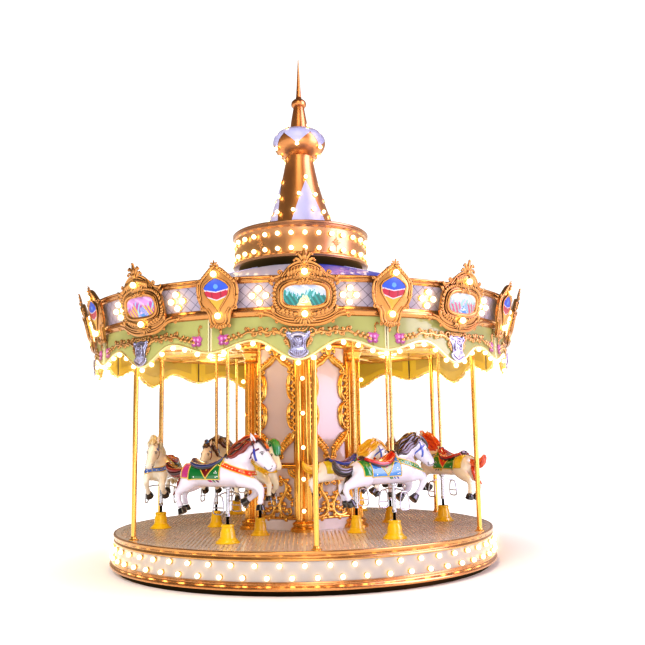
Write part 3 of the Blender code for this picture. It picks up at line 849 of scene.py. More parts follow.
def make_platform():
    """Skirt, mouldings, deck and its tread bars."""
    inside = 1.93
    base = Shape()
    profile = [(inside, 0.048), (2.026, 0.048), (2.036, 0.052), (2.04, 0.06), (2.04, 0.068)]
    profile += ogee((2.038, 0.072), (2.014, 0.096)) + [(2.014, 0.104), (2.006, 0.106), (2.004, 0.1188),
                                                       (inside, 0.1188)]
    base.turned(profile)
    settle(base.piece("base_gilding", BASE_GOLD, 30), "gold_paint", "base_moulding")

    skirt = Shape()
    skirt.turned([(1.95, SKIRT_LOW), (SKIRT_RADIUS, SKIRT_LOW),
                  (SKIRT_RADIUS + 0.003, between(SKIRT_LOW, SKIRT_HIGH, 0.5)),
                  (SKIRT_RADIUS, SKIRT_HIGH), (1.95, SKIRT_HIGH)])
    settle(skirt.piece("skirt_face", SKIRT_WHITE, 30), "cream_enamel", "skirt_band")

    rim = Shape()
    profile = [(inside, 0.2853), (1.998, 0.2853), (2.003, 0.289), (2.004, 0.297)]
    profile += ogee((2.003, 0.301), (1.992, 0.316)) + [(1.992, 0.322)]
    profile += ogee((1.994, 0.325), (2.006, 0.342)) + [(2.007, 0.358), (2.003, 0.364), (1.997, DECK_TOP),
                                                       (1.984, DECK_TOP), (1.984, 0.33), (inside, 0.33)]
    rim.turned(profile)
    settle(rim.piece("rim_gilding", RIM_GOLD, 30), "gold_paint", "rim_moulding")

    deck = Shape()
    deck.turned([(0.1, 0.335), (DECK_RADIUS - 0.002, 0.335), (DECK_RADIUS - 0.002, DECK_TOP - 0.001),
                 (0.1, DECK_TOP - 0.001)])
    settle(deck.piece("deck_plate", TREAD, 30), "tread_plate", "platform_deck")
    bar = Shape()
    half = 0.012
    path = [Vector((half * share, 0, 0)) for share in (-1, 0, 1)]
    bar.tube(path, [0.0016, 0.0054, 0.0016], 6, flat=0.6, up=UPWARDS)
    bar = motif(bar, "tread_motif", TREAD_BAR)
    bars = TREAD_BARS.grow(line_piece("tread_source", [Vector(), Vector((0.1, 0, 0))]), "deck_tread",
                           TREAD_BAR, Motif=bar, Pitch=0.04, Radius=DECK_RADIUS - 0.05, Hub=0.7,
                           Height=DECK_TOP - 0.0005)
    bpy.data.objects.remove(bar)
    settle(bars, "tread_plate")

    rows = 60
    for count in range(rows):
        for height, shift in ((0.252, 0.0), (0.153, 0.5)):
            angle = (count + shift) * 360 / rows
            lamp(polar(SKIRT_RADIUS + 0.004, angle, height), polar(1, angle))


def make_rim_poles():
    """The smooth gold tubes at the platform's edge, with bolted flanges."""
    for number in range(1, 7):
        low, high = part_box(f"rim_pole_{number}")
        centre = Vector(((low.x + high.x) / 2, (low.y + high.y) / 2, 0))
        pole = Shape()
        radius = 0.0235
        profile = [(0.012, low.z), (0.047, low.z), (0.047, low.z + 0.006), (0.04, low.z + 0.009),
                   (0.031, low.z + 0.014), (0.029, low.z + 0.03), (radius, low.z + 0.036)]
        profile += [(radius, high.z - 0.036), (0.029, high.z - 0.03), (0.031, high.z - 0.012),
                    (0.047, high.z - 0.006), (0.047, high.z), (0.012, high.z)]
        pole.turned(profile, 32, centre=centre)
        for bolt in range(4):
            spot = centre + polar(0.039, 45 + 90 * bolt, low.z + 0.008)
            pole.ball(spot, (0.005, 0.005, 0.004), sides=8, rings=4)
        settle(pole.piece(f"edge_tube_{number}", GOLD_SMOOTH, 35), "gold_paint", f"rim_pole_{number}")


# Centre column

def make_pillars():
    """Six fluted pillars with turned bases and capitals, and a line of lamps on each."""
    foot = DECK_TOP
    head = CEILING_LOW
    shape = Shape()
    centre = polar(COLUMN_RADIUS, 0)
    base = [(0.02, foot), (0.14, foot), (0.141, foot + 0.022), (0.136, foot + 0.028)]
    base += ogee((0.134, foot + 0.03), (0.112, foot + 0.052)) + [(0.116, foot + 0.06), (0.12, foot + 0.072)]
    base += ogee((0.118, foot + 0.076), (0.086, foot + 0.104)) + [(0.02, foot + 0.106)]
    shape.turned(base, 48, centre=centre)
    capital = [(0.02, 2.1), (0.084, 2.1), (0.092, 2.108), (0.084, 2.116)] + ogee((0.08, 2.13), (0.1, 2.19))
    capital += [(0.106, 2.2), (0.1, 2.21)] + ogee((0.098, 2.215), (0.128, 2.25)) + [(0.131, 2.256),
                                                                                    (0.131, head),
                                                                                    (0.02, head)]
    shape.turned(capital, 48, centre=centre)
    flutes = 16
    points = 7
    rows = []
    for height in (foot + 0.09, 1.2, 2.11):
        row = []
        for step in range(flutes * points):
            share = (step % points) / points
            radius = PILLAR_RADIUS - 0.013 * math.sin(math.pi * share)
            turn = 2 * math.pi * step / (flutes * points)
            row.append(centre + Vector((radius * math.cos(turn), radius * math.sin(turn), height)))
        rows.append(row)
    shape.band(rows, caps=True)
    pillars = repeat_panels(shape, "column_pillars", GOLD, PILLAR_COUNT, smooth=28)
    settle(pillars, "gold_paint", "centre_column")
    for count in range(PILLAR_COUNT):
        angle = count * 360 / PILLAR_COUNT
        for height in (0.573, 0.886, 1.2, 1.546, 1.9):
            lamp(polar(COLUMN_RADIUS + PILLAR_RADIUS + 0.001, angle, height), polar(1, angle))


def make_column_panels():
    """Plinth, glossy panels and their carved frames between the pillars."""
    face = COLUMN_RADIUS * math.cos(math.pi / PILLAR_COUNT)
    half = COLUMN_RADIUS / 2
    plinth = Shape()
    plinth.slab(lambda u, v: Vector((between(-half - 0.01, half + 0.01, u), -face - 0.012,
                                     between(DECK_TOP, 0.468, v))),
                4, 3, Vector((0, 0.05, 0)))
    settle(repeat_panels(plinth, "column_plinth", PLINTH_WHITE, PILLAR_COUNT, 30, smooth=30),
           "cream_enamel")
    sheet = Shape()
    sheet.slab(lambda u, v: Vector((between(-half, half, u), -face + 0.004, between(0.46, CEILING_LOW, v))),
               6, 24, Vector((0, 0.03, 0)))
    settle(repeat_panels(sheet, "column_panels", PANEL_GLOSS, PILLAR_COUNT, 30, smooth=30), "cream_enamel")

    carving = mirrored(column_frame_half()).moved(lambda point: Vector((point.x, point.y - face, point.z)))
    settle(repeat_panels(carving, "column_carving", CARVED, PILLAR_COUNT, 30, smooth=60), "gold_paint")

    rails = Shape()
    for low, high, out in ((0.47, 0.5, 0.02), (0.985, 1.03, 0.022), (1.035, 1.045, 0.014),
                           (2.235, CEILING_LOW, 0.024)):
        middle = (low + high) / 2
        reach = (high - low) / 2
        path = [Vector((-half + 0.05, -face, middle)), Vector((half - 0.05, -face, middle))]
        rails.tube(path, reach, 12, flat=out / reach, up=OUTWARDS)
    for side in (-1, 1):
        for place, radius in ((0.222, 0.009), (0.205, 0.005)):
            path = [Vector((side * place, -face - 0.004, 0.49)),
                    Vector((side * place, -face - 0.004, 2.25))]
            rails.tube(path, radius, 8, up=OUTWARDS)
    settle(repeat_panels(rails, "column_rails", GOLD, PILLAR_COUNT, 30, smooth=40), "gold_paint")


def column_frame_half():
    """The right half of one panel's carving: horned arch, roped sides, pointed foot and leafy scrolls."""
    half = Shape()
    arch = [(0.0, 2.15), (0.04, 2.128), (0.085, 2.085), (0.132, 2.058), (0.166, 2.028), (0.184, 1.99)]
    strip(half, arch, (0.024, 0.034, 0.034, 0.03, 0.022), 0.012, 28)
    strip(half, arch, (0.008, 0.011, 0.011, 0.008), 0.04, 28)
    for place, height in ((0.05, 2.156), (0.078, 2.132), (0.106, 2.108), (0.136, 2.09), (0.166, 2.07),
                          (0.192, 2.044)):
        half.ball(Vector((place, -0.018, height)), (0.019, 0.014, 0.019), sides=10, rings=6)
    horn = [(0.004, 2.14), (0.012, 2.19), (0.036, 2.226), (0.066, 2.226), (0.078, 2.2), (0.066, 2.182)]
    strip(half, horn, (0.02, 0.022, 0.019, 0.016, 0.013), 0.018, 26)
    half.ball(Vector((0.06, -0.026, 2.196)), (0.015, 0.012, 0.015), sides=10, rings=6)
    curl(half, (0.16, 1.992), 0.03, 70, -330, 0.014, 0.018)
    for count in range(19):
        height = 2.0 - 0.036 * count
        leaf(half, (0.212, height), -90 + (34 if count % 2 else -34), 0.062, 0.036, 0, 0.014, 0.7)
        half.ball(Vector((0.212, -0.026, height)), (0.012, 0.01, 0.018), sides=8, rings=5)
    for points, ends in (([(0.198, 1.968), (0.166, 1.944), (0.15, 1.89), (0.144, 1.815), (0.156, 1.735),
                           (0.196, 1.68)],
                          ((0.186, 1.936), (0.184, 1.716))),
                         ([(0.196, 1.66), (0.16, 1.626), (0.142, 1.56), (0.146, 1.48), (0.168, 1.42),
                           (0.198, 1.396)],
                          ((0.184, 1.624), (0.186, 1.43)))):
        strip(half, points, (0.014, 0.024, 0.027, 0.025, 0.014), 0.012, 28)
        strip(half, points, (0.005, 0.009, 0.009, 0.005), 0.036, 28)
        for side, centre in zip((1, -1), ends):
            curl(half, centre, 0.022, 100 * side, 330 * side, 0.01, 0.016)
    for height, heading in ((1.85, 250), (1.77, 110), (1.545, 250), (1.49, 110)):
        leaf(half, (0.158, height), heading + (20 if heading > 180 else -20), 0.06, 0.034, 0.0, 0.024, 0.6)
    foot = [(0.206, 1.352), (0.186, 1.304), (0.14, 1.256), (0.092, 1.214), (0.056, 1.166), (0.036, 1.112)]
    strip(half, foot, (0.022, 0.034, 0.036, 0.034, 0.028, 0.02), 0.012, 28)
    strip(half, foot, (0.007, 0.01, 0.011, 0.01, 0.007), 0.042, 28)
    for count in range(7):
        share = count / 6
        place, height = between(0.188, 0.056, share), between(1.306, 1.164, share ** 1.1)
        leaf(half, (place + 0.014, height - 0.016), 205, 0.048, 0.034, -1.4, 0.034, 0.6)
        half.ball(Vector((place - 0.024, -0.02, height + 0.026)), (0.018, 0.014, 0.018), sides=10, rings=6)
    curl(half, (0.056, 1.11), 0.027, 190, 340, 0.013, 0.018)
    leaf(half, (0.03, 1.12), 250, 0.06, 0.03, 0.6, 0.018, 0.6)
    for reach in (0.032, 0.06, 0.088):
        arc = [(0.222 - reach * math.cos(math.radians(turn)), 0.984 - reach * math.sin(math.radians(turn)))
               for turn in (0, 30, 60, 90)]
        strip(half, arc, (0.011, 0.013, 0.011), 0.012, 10)
    stem = [(0.022, 0.826), (0.04, 0.862), (0.086, 0.862), (0.112, 0.816), (0.104, 0.752), (0.062, 0.692),
            (0.034, 0.626), (0.036, 0.556), (0.082, 0.508), (0.15, 0.5), (0.196, 0.52)]
    strip(half, stem, (0.01, 0.018, 0.021, 0.022, 0.02, 0.018, 0.01), 0.014, 44)
    curl(half, (0.044, 0.826), 0.028, 180, -330, 0.012, 0.016)
    curl(half, (0.14, 0.56), 0.036, 270, 340, 0.013, 0.016)
    curl(half, (0.15, 0.7), 0.03, 180, -330, 0.012, 0.016)
    strip(half, [(0.1, 0.74), (0.12, 0.7), (0.17, 0.668), (0.196, 0.69)], (0.014, 0.014, 0.008), 0.014, 14)
    for place, height, heading, bend in ((0.06, 0.866, 110, 1.5), (0.098, 0.846, 50, -1.5),
                                         (0.112, 0.806, 10, -1.5),
                                         (0.106, 0.752, -20, -1.8), (0.084, 0.716, 150, 1.5),
                                         (0.056, 0.684, 170, 1.6),
                                         (0.036, 0.626, 190, 1.8), (0.034, 0.586, 215, 1.8),
                                         (0.052, 0.536, 240, 1.8),
                                         (0.09, 0.506, 280, 1.8), (0.06, 0.64, -10, -1.8),
                                         (0.05, 0.58, 20, -1.5),
                                         (0.09, 0.54, 60, -1.5), (0.15, 0.742, 60, 1.5),
                                         (0.17, 0.6, 60, 1.5)):
        leaf(half, (place, height), heading, 0.062, 0.04, bend, 0.014, 0.6)
    return half


# Canopy

def valance_low(offset):
    """Height of the valance's edge at an angle from the middle of a panel, as the frame has it."""
    peak_angle = PANEL_ANGLE / 4
    offset = abs(offset)
    if offset <= peak_angle:
        return between(VALANCE_TIP, VALANCE_PEAK, (1 - math.cos(math.pi * offset / peak_angle)) / 2)
    return between(VALANCE_PEAK, VALANCE_JOINT,
                   (1 - math.cos(math.pi * (offset - peak_angle) / peak_angle)) / 2)


def make_ceiling():
    """The gold ceiling with round and straight trims."""
    ceiling = Shape()
    profile = [(0.5, CEILING_HIGH - 0.005), (0.5, CEILING_LOW)]
    for radius in (0.8, 1.25, 1.75, 2.05):
        profile += [(radius - 0.02, CEILING_LOW), (radius - 0.012, CEILING_LOW - 0.01),
                    (radius + 0.012, CEILING_LOW - 0.01), (radius + 0.02, CEILING_LOW)]
    profile += [(2.176, CEILING_LOW), (2.176, CEILING_HIGH - 0.005)]
    ceiling.turned(profile)
    settle(ceiling.piece("ceiling_lining", GOLD, 30), "gold_paint", "ceiling")
    rib = Shape()
    rib.tube([Vector((0, -0.7, CEILING_LOW)), Vector((0, -2.17, CEILING_LOW))], 0.014, 8, flat=0.9,
             up=UPWARDS)
    settle(repeat_panels(rib, "ceiling_ribs", GOLD_SMOOTH, 18, 10), "gold_paint")


def make_valance():
    """Waved fascia: enamel face, gold lip, carved vines, flowers and a shield at each tip."""
    outer = VALANCE_RADIUS - 0.002
    inner = VALANCE_RADIUS - 0.028
    top = CEILING_HIGH
    steps = 48

    def wall(radius, share_of):
        def point_of(u, v):
            offset = (u - 0.5) * PANEL_ANGLE
            low = valance_low(offset)
            return polar(radius, offset, between(low, top, share_of(v)))
        return point_of

    def fit(shape, name, material, slot, *nodes, palette=None, smooth=60):
        panels = repeat_panels(shape, name, material, first=VALANCE_TURN, palette=palette, smooth=smooth)
        settle(panels, slot, *nodes)

    face = Shape()
    face.sheet(wall(outer, lambda v: v), steps, 10)
    fit(face, "valance_face", SAGE, "sage_panel", "valance")
    lining = Shape()
    lining.sheet(lambda u, v: wall(inner, lambda w: w)(1 - u, between(0.0, 0.33, v)), steps, 3)
    lining.sheet(lambda u, v: wall(inner + 0.01, lambda w: w)(1 - u, between(0.33, 0.9, v)), steps, 3)
    lining.sheet(lambda u, v: wall(inner, lambda w: w)(1 - u, between(0.9, 1.0, v)), steps, 2)
    fit(lining, "valance_lining", OLIVE, "sage_panel")
    recess = Shape()
    recess.sheet(lambda u, v: wall(inner + 0.006, lambda w: w)(between(0.93, 0.07, u),
                                                               between(0.36, 0.86, v)), steps, 3)
    fit(recess, "valance_recess", OLIVE_DARK, "sage_panel")

    lip = Shape()
    for radius, drop, size in ((outer + 0.001, 0.0, 0.0105), (outer - 0.014, -0.004, 0.01),
                               (inner, 0.002, 0.009)):
        path = []
        for step in range(steps + 1):
            offset = (step / steps - 0.5) * PANEL_ANGLE
            path.append(polar(radius, offset, valance_low(offset) + drop))
        lip.tube(path, size, 8)
    for side in (-1, 1):
        offset = side * (PANEL_ANGLE / 2 - 0.35)
        lip.tube([polar(outer, offset, 2.04), polar(outer, offset, top)], 0.006, 8)
    fit(lip, "valance_lip", PALE_GOLD, "gold_paint")

    on_face = on_wall(lambda height: outer)
    fit(mirrored(vine_half()).moved(on_face), "valance_vines", VINE_GOLD, "gold_paint")
    fit(tip_shield().moved(on_face), "tip_shields", SILVER, "gold_paint", smooth=45)
    flowers = Shape()
    for side in (-1, 1):
        flowers.add(orchid(side), on_face)
    shades = [colour("#b84e9c"), colour("#9c3a86"), colour("#dc98c8"), colour("#7a6a2c")]
    fit(flowers, "valance_flowers", PANEL_PAINT, "sage_panel", palette=shades)

    joint = Shape()
    for shift in (-0.0115, 0.0115):
        angle = PANEL_ANGLE / 2 + math.degrees(shift / outer)
        joint.tube([polar(outer + 0.001, angle, 2.034), polar(outer + 0.001, angle, top)], 0.0075, 8,
                   paint=0)
    joint.tube([polar(outer, PANEL_ANGLE / 2, 2.034), polar(outer, PANEL_ANGLE / 2, top)], 0.0048, 6,
               paint=1)
    for angle in (-PANEL_ANGLE / 2, PANEL_ANGLE / 2):
        joint.tube([polar(inner - 0.004, angle, 2.05), polar(inner - 0.004, angle, 2.285)], 0.0075, 6,
                   paint=1)
    for step in range(6):
        joint.ball(polar(outer + 0.008, PANEL_ANGLE / 2 - 0.3, 2.06 + 0.044 * step), (0.007, 0.007, 0.009),
                   0, 8, 5)
    shades = [colour("#e0d8b0"), colour("#3a2c10")]
    fit(joint, "valance_joints", PANEL_PAINT, "gold_paint", palette=shades)

    per_panel = 12
    for panel in range(PANEL_COUNT):
        for count in range(per_panel):
            offset = (count / per_panel - 0.5) * PANEL_ANGLE
            angle = panel * PANEL_ANGLE + VALANCE_TURN + offset
            lamp(polar(outer - 0.013, angle, valance_low(offset) - 0.004),
                 Vector((0, 0, -1)) + polar(0.25, angle))


def vine_half():
    """The right half of a panel's vine: scrolls by the shield, hooked waves, a sprig and a tendril."""
    half = Shape()
    curl(half, (0.112, 2.196), 0.04, 250, 350, 0.013, 0.012)
    strip(half, [(0.088, 2.17), (0.1, 2.13), (0.082, 2.095), (0.074, 2.055)], (0.011, 0.013, 0.008), 0.01)
    curl(half, (0.098, 2.108), 0.02, 90, -300, 0.008, 0.01)
    for height in (2.15, 2.115, 2.08):
        leaf(half, (0.1 - 0.4 * (2.15 - height), height), 20, 0.04, 0.022, -2.0, 0.01)
    strip(half, [(0.07, 2.205), (0.04, 2.192), (0.0, 2.2)], (0.01, 0.008), 0.012, 10)
    for place in range(3):
        leaf(half, (0.012 + 0.024 * place, 2.196 + 0.003 * place), 80 - 14 * place, 0.034, 0.018, 0.5,
             0.012)
    wave = [(0.145, 2.174), (0.2, 2.188), (0.255, 2.18), (0.31, 2.196), (0.365, 2.186), (0.425, 2.194),
            (0.47, 2.172)]
    strip(half, wave, (0.014, 0.012, 0.011, 0.009), 0.01, 36)
    for place, height, side in ((0.172, 2.186, 1), (0.232, 2.186, -1), (0.292, 2.196, 1), (0.348, 2.19, -1),
                                (0.408, 2.196, 1)):
        hook = [(place, height), (place + 0.008, height + 0.022 * side),
                (place + 0.03, height + 0.032 * side)]
        strip(half, hook, (0.011, 0.009), 0.01, 8)
        curl(half, (place + 0.03, height + 0.02 * side), 0.014, 90 * side, -300 * side, 0.008, 0.012)
        leaf(half, (place - 0.01, height), 150 * side, 0.044, 0.026, -1.0 * side, 0.01)
    for place in range(7):
        start = (0.466 + 0.022 * place, 2.176 - 0.0056 * place)
        leaf(half, start, 40 if place % 2 else -48, 0.042, 0.026, -1.2 if place % 2 else 1.2, 0.01)
    strip(half, [(0.462, 2.178), (0.53, 2.16), (0.6, 2.144)], (0.006, 0.005), 0.008, 10)
    strip(half, [(0.655, 2.18), (0.668, 2.205), (0.662, 2.235), (0.672, 2.262)], (0.005, 0.007, 0.006),
          0.008, 12)
    curl(half, (0.684, 2.258), 0.013, 160, -270, 0.006, 0.01)
    return half


def tip_shield():
    """A plain shield in silver blue with flared ears and a ribbed boat foot, and no device on it."""
    shape = Shape()
    side = [(0.0, 2.18), (0.036, 2.176), (0.06, 2.166), (0.098, 2.182), (0.092, 2.15), (0.066, 2.12),
            (0.056, 2.08), (0.058, 2.04), (0.078, 2.018), (0.066, 1.996), (0.036, 1.974), (0.0, 1.966)]
    filled_outline(shape, whole_outline(side), 0.014, 0.014, 0.022)
    half = Shape()
    strip(half, side[:4], (0.005, 0.007, 0.006), 0.018, 16)
    strip(half, side[3:8], (0.006, 0.008, 0.007), 0.018, 20)
    strip(half, side[7:], (0.007, 0.01, 0.008), 0.02, 16)
    strip(half, [(0.0, 2.15), (0.03, 2.146), (0.042, 2.11), (0.038, 2.066), (0.0, 2.052)],
          (0.005, 0.006, 0.005), 0.036, 24)
    for place in range(4):
        across = 0.01 + 0.017 * place
        strip(half, [(across, 2.028 - 0.002 * place), (across * 0.8, 1.982 + 0.008 * place)],
              (0.007, 0.005), 0.03, 6)
    curl(half, (0.018, 2.126), 0.012, 200, -330, 0.005, 0.038)
    curl(half, (0.02, 2.082), 0.012, 160, 330, 0.005, 0.038)
    leaf(half, (0.004, 2.105), 70, 0.03, 0.016, 0.0, 0.036)
    leaf(half, (0.06, 2.16), 30, 0.05, 0.026, 1.0, 0.018)
    shape.add(mirrored(half))
    return shape


def orchid(side):
    """A flat open flower of two large and two small lobes, on a short stem."""
    shape = Shape()
    across = side * 0.64
    height = 2.136
    for lean, rise, size, paint in ((-1, 0.014, 0.029, 0), (1, 0.014, 0.029, 0), (-1, -0.02, 0.022, 1),
                                    (1, -0.02, 0.022, 1)):
        spot = Vector((across + lean * 0.024, -0.004, height + rise))
        shape.ball(spot, (size, 0.009, size), paint, 14, 8)
        for turn in (20, 70, 120, 160):
            heading = math.radians(turn if lean > 0 else 180 - turn)
            if rise < 0:
                heading = -heading
            edge = spot + Vector((0.92 * size * math.cos(heading), -0.002, 0.92 * size * math.sin(heading)))
            shape.ball(edge, (0.36 * size, 0.007, 0.36 * size), paint, 8, 5)
        shape.ball(spot + Vector((-lean * 0.006, -0.008, 0)), (0.35 * size, 0.004, 0.45 * size), 2, 8, 5)
    shape.ball(Vector((across, -0.012, height)), (0.007, 0.006, 0.01), 1, 8, 5)
    leaf(shape, (across, height - 0.03), -84, 0.04, 0.014, 0.6, 0.004, 0.4, paint=3)
    return shape


CORNICE_OUT = 0.017


def cornice_radius(height):
    """The leaning band's radius at a height."""
    band_low, band_high = 2.4, 2.6
    foot_radius, head_radius = 2.214, 2.265
    return between(foot_radius, head_radius, (height - band_low) / (band_high - band_low))


def make_cornice():
    """Gold rails, the latticed band between them, lamp groups and the carved frames."""
    low_rail = Shape()
    profile = [(2.1, CEILING_HIGH), (2.188, CEILING_HIGH), (2.2, 2.326)] + ogee((2.204, 2.33),
                                                                                (2.218, 2.352))
    profile += [(2.219, 2.364), (2.212, 2.37)] + ogee((2.212, 2.374), (2.204, 2.398)) + [(2.198, 2.404),
                                                                                         (2.1, 2.404)]
    low_rail.turned([(radius + CORNICE_OUT, height) for radius, height in profile])
    settle(low_rail.piece("cornice_low_rail", GILT, 30), "gold_paint", "cornice")
    high_rail = Shape()
    profile = [(2.12, 2.602), (2.25, 2.602)] + ogee((2.256, 2.604), (2.272, 2.616)) + [(2.274, 2.622),
                                                                                       (2.269, 2.627)]
    profile += ogee((2.271, 2.631), (2.288, 2.644)) + [(2.289, 2.652), (2.28, 2.658), (2.196, 2.658),
                                                       (2.178, 2.624),
                                                       (2.12, 2.624)]
    high_rail.turned([(radius + CORNICE_OUT, height) for radius, height in profile])
    settle(high_rail.piece("cornice_high_rail", GILT, 30), "gold_paint")
    band = Shape()
    rows = 3
    band.sheet(lambda u, v: polar(cornice_radius(between(2.398, 2.606, v)), u * 360,
                                  between(2.398, 2.606, v)),
               SMOOTH_SIDES * 2, rows)
    radius = cornice_radius(2.5)
    sheet = band.piece("cornice_band", LATTICE, 40, flat_map=lambda co: (
        (math.atan2(co.x, -co.y) % (2 * math.pi)) * radius, co.z - 2.5), merge=False)
    settle(sheet, "lavender_canvas")

    oval = oval_frame().moved(on_wall(frame_radius))
    settle(repeat_panels(oval, "oval_frames", FRAME_GOLD, angles=FRAME_ANGLES[::2], smooth=60),
           "gold_paint")
    shield = shield_frame().moved(on_wall(frame_radius))
    settle(repeat_panels(shield, "shield_frames", FRAME_GOLD, angles=FRAME_ANGLES[1::2], smooth=60),
           "gold_paint")
    make_pictures()
    make_shield_fields()

    for place, angle in enumerate(FRAME_ANGLES):
        bulbs = ((2.33, 0.02), (2.672, 0.026)) if place % 2 else ((2.322, 0.02), (2.662, 0.03))
        for height, out in bulbs:
            lamp(polar(frame_radius(height) + out, angle, height), polar(1, angle), 1.25)
        for side in (-1, 1) if place % 2 == 0 else ():
            for across, up in ((0.058, 0), (-0.058, 0), (0, 0.058), (0, -0.058)):
                height = 2.498 + up
                beside = angle + side * 9.7 + math.degrees(across / 2.23)
                lamp(polar(cornice_radius(height) + 0.002, beside, height), polar(1, beside, -0.25), 1.2)


def frame_radius(height):
    """Wall that the carved frames lie on: it follows the cornice and leans out above it."""
    foot, foot_radius, lean = 2.3, 2.25, 0.25
    return foot_radius + lean * (height - foot)


def bud(half, foot, size):
    """The plume at a frame's top, right half: a tall middle lobe, lobes that curl outwards, and a boss."""
    lobes = (([(0.004, -0.02), (0.006, 0.04), (0.003, 0.104)], (0.012, 0.021, 0.009)),
             ([(0.012, -0.014), (0.03, 0.036), (0.052, 0.066), (0.068, 0.056)],
              (0.011, 0.018, 0.015, 0.009)),
             ([(0.014, -0.022), (0.044, 0.008), (0.074, 0.022), (0.09, 0.006)],
              (0.011, 0.016, 0.013, 0.008)))
    for points, widths in lobes:
        spots = [(across * size, foot + rise * size) for across, rise in points]
        strip(half, spots, [width * size for width in widths], 0.024, 12)
        half.ball(Vector((spots[-1][0], -0.026, spots[-1][1])), (0.012 * size,) * 3, 0, 8, 6)
    half.ball(Vector((0.0, -0.034, foot - 0.006)), (0.026 * size, 0.016, 0.022 * size), 0, 12, 8)


def oval_frame():
    """The large frame: carved ring, leafy dome, curled ears, sweeping lower mouldings and a shell foot."""
    centre = 2.476
    whole = Shape()
    side = [(0, 2.24), (0.08, 2.24), (0.15, 2.256), (0.205, 2.286), (0.248, 2.33), (0.262, 2.4),
            (0.262, 2.54),
            (0.235, 2.61), (0.176, 2.646), (0.146, 2.69), (0.1, 2.724), (0.05, 2.744), (0, 2.75)]
    filled_outline(whole, whole_outline(side), 0.01, 0.024, 0.012)
    for across, rise, out, size in ((0.196, 0.104, 0.03, 0.014), (0.181, 0.09, 0.024, 0.006),
                                    (0.216, 0.122, 0.024, 0.006)):
        loop_tube(whole, ring_line(across, rise, centre, 72, out, 3.2), size, 8)
    ring = ring_line(0.236, 0.14, centre, 44, 0.0, 2.8)
    for place, spot in enumerate(ring):
        along = ring[(place + 1) % len(ring)] - ring[place - 1]
        heading = math.degrees(math.atan2(along.z, along.x))
        leaf(whole, (spot.x, spot.z), heading - 40 if spot.x > 0 else heading + 140 + 80, 0.046, 0.026, 0.8,
             0.018)
    half = Shape()
    half.ball(Vector((0.0, -0.006, 2.66)), (0.14, 0.026, 0.078), 0, 32, 14)
    strip(half, [(0.19, 2.628), (0.16, 2.668), (0.124, 2.708), (0.07, 2.738), (0.0, 2.752)],
          (0.013, 0.012, 0.012), 0.02)
    strip(half, [(0.168, 2.632), (0.14, 2.662), (0.108, 2.694), (0.06, 2.718), (0.0, 2.73)], (0.006, 0.006),
          0.03)
    for place in range(5):
        across = 0.128 - 0.022 * place
        leaf(half, (across, 2.624 + 0.01 * place), 78 + 4 * place, 0.074 - 0.004 * place, 0.028, 0.7, 0.032)
    curl(half, (0.06, 2.64), 0.02, 90, -330, 0.008, 0.036)
    curl(half, (0.206, 2.664), 0.022, 230, -330, 0.01, 0.018)
    strip(half, [(0.262, 2.622), (0.222, 2.632), (0.186, 2.646)], (0.008, 0.013, 0.01), 0.016, 10)
    leaf(half, (0.246, 2.606), 28, 0.06, 0.028, 1.4, 0.018)
    leaf(half, (0.262, 2.56), 66, 0.06, 0.028, -1.4, 0.016)
    strip(half, [(0.42, 2.33), (0.352, 2.332), (0.282, 2.316), (0.222, 2.28), (0.152, 2.25), (0.076, 2.238),
                 (0.0, 2.24)],
          (0.008, 0.012, 0.014, 0.013), 0.018, 34)
    strip(half, [(0.34, 2.356), (0.284, 2.34), (0.232, 2.304), (0.158, 2.274), (0.08, 2.262), (0.0, 2.262)],
          (0.007, 0.01, 0.01), 0.016, 30)
    strip(half, [(0.268, 2.376), (0.232, 2.33), (0.166, 2.298), (0.084, 2.284), (0.0, 2.284)],
          (0.007, 0.009, 0.009), 0.018, 26)
    curl(half, (0.372, 2.318), 0.018, 80, 330, 0.009, 0.016)
    curl(half, (0.236, 2.27), 0.018, 60, 330, 0.009, 0.018)
    leaf(half, (0.27, 2.4), 250, 0.07, 0.03, 1.0, 0.02)
    for place in range(4):
        leaf(half, (0.006 + 0.015 * place, 2.296), -88 + 17 * place, 0.066 - 0.006 * place, 0.019, 0.2,
             0.03)
    for place in range(4):
        leaf(half, (0.056 + 0.038 * place, 2.322 + 0.006 * place), 8 + 16 * place, 0.048, 0.026, 1.6, 0.024)
    for place, heading in ((0.006, 62), (0.018, 30), (0.024, -4)):
        leaf(half, (place, 2.566), heading, 0.05, 0.022, 1.0, 0.04)
    curl(half, (0.034, 2.362), 0.014, 120, -330, 0.006, 0.034)
    bud(half, 2.752, 0.94)
    whole.add(mirrored(half))
    return whole


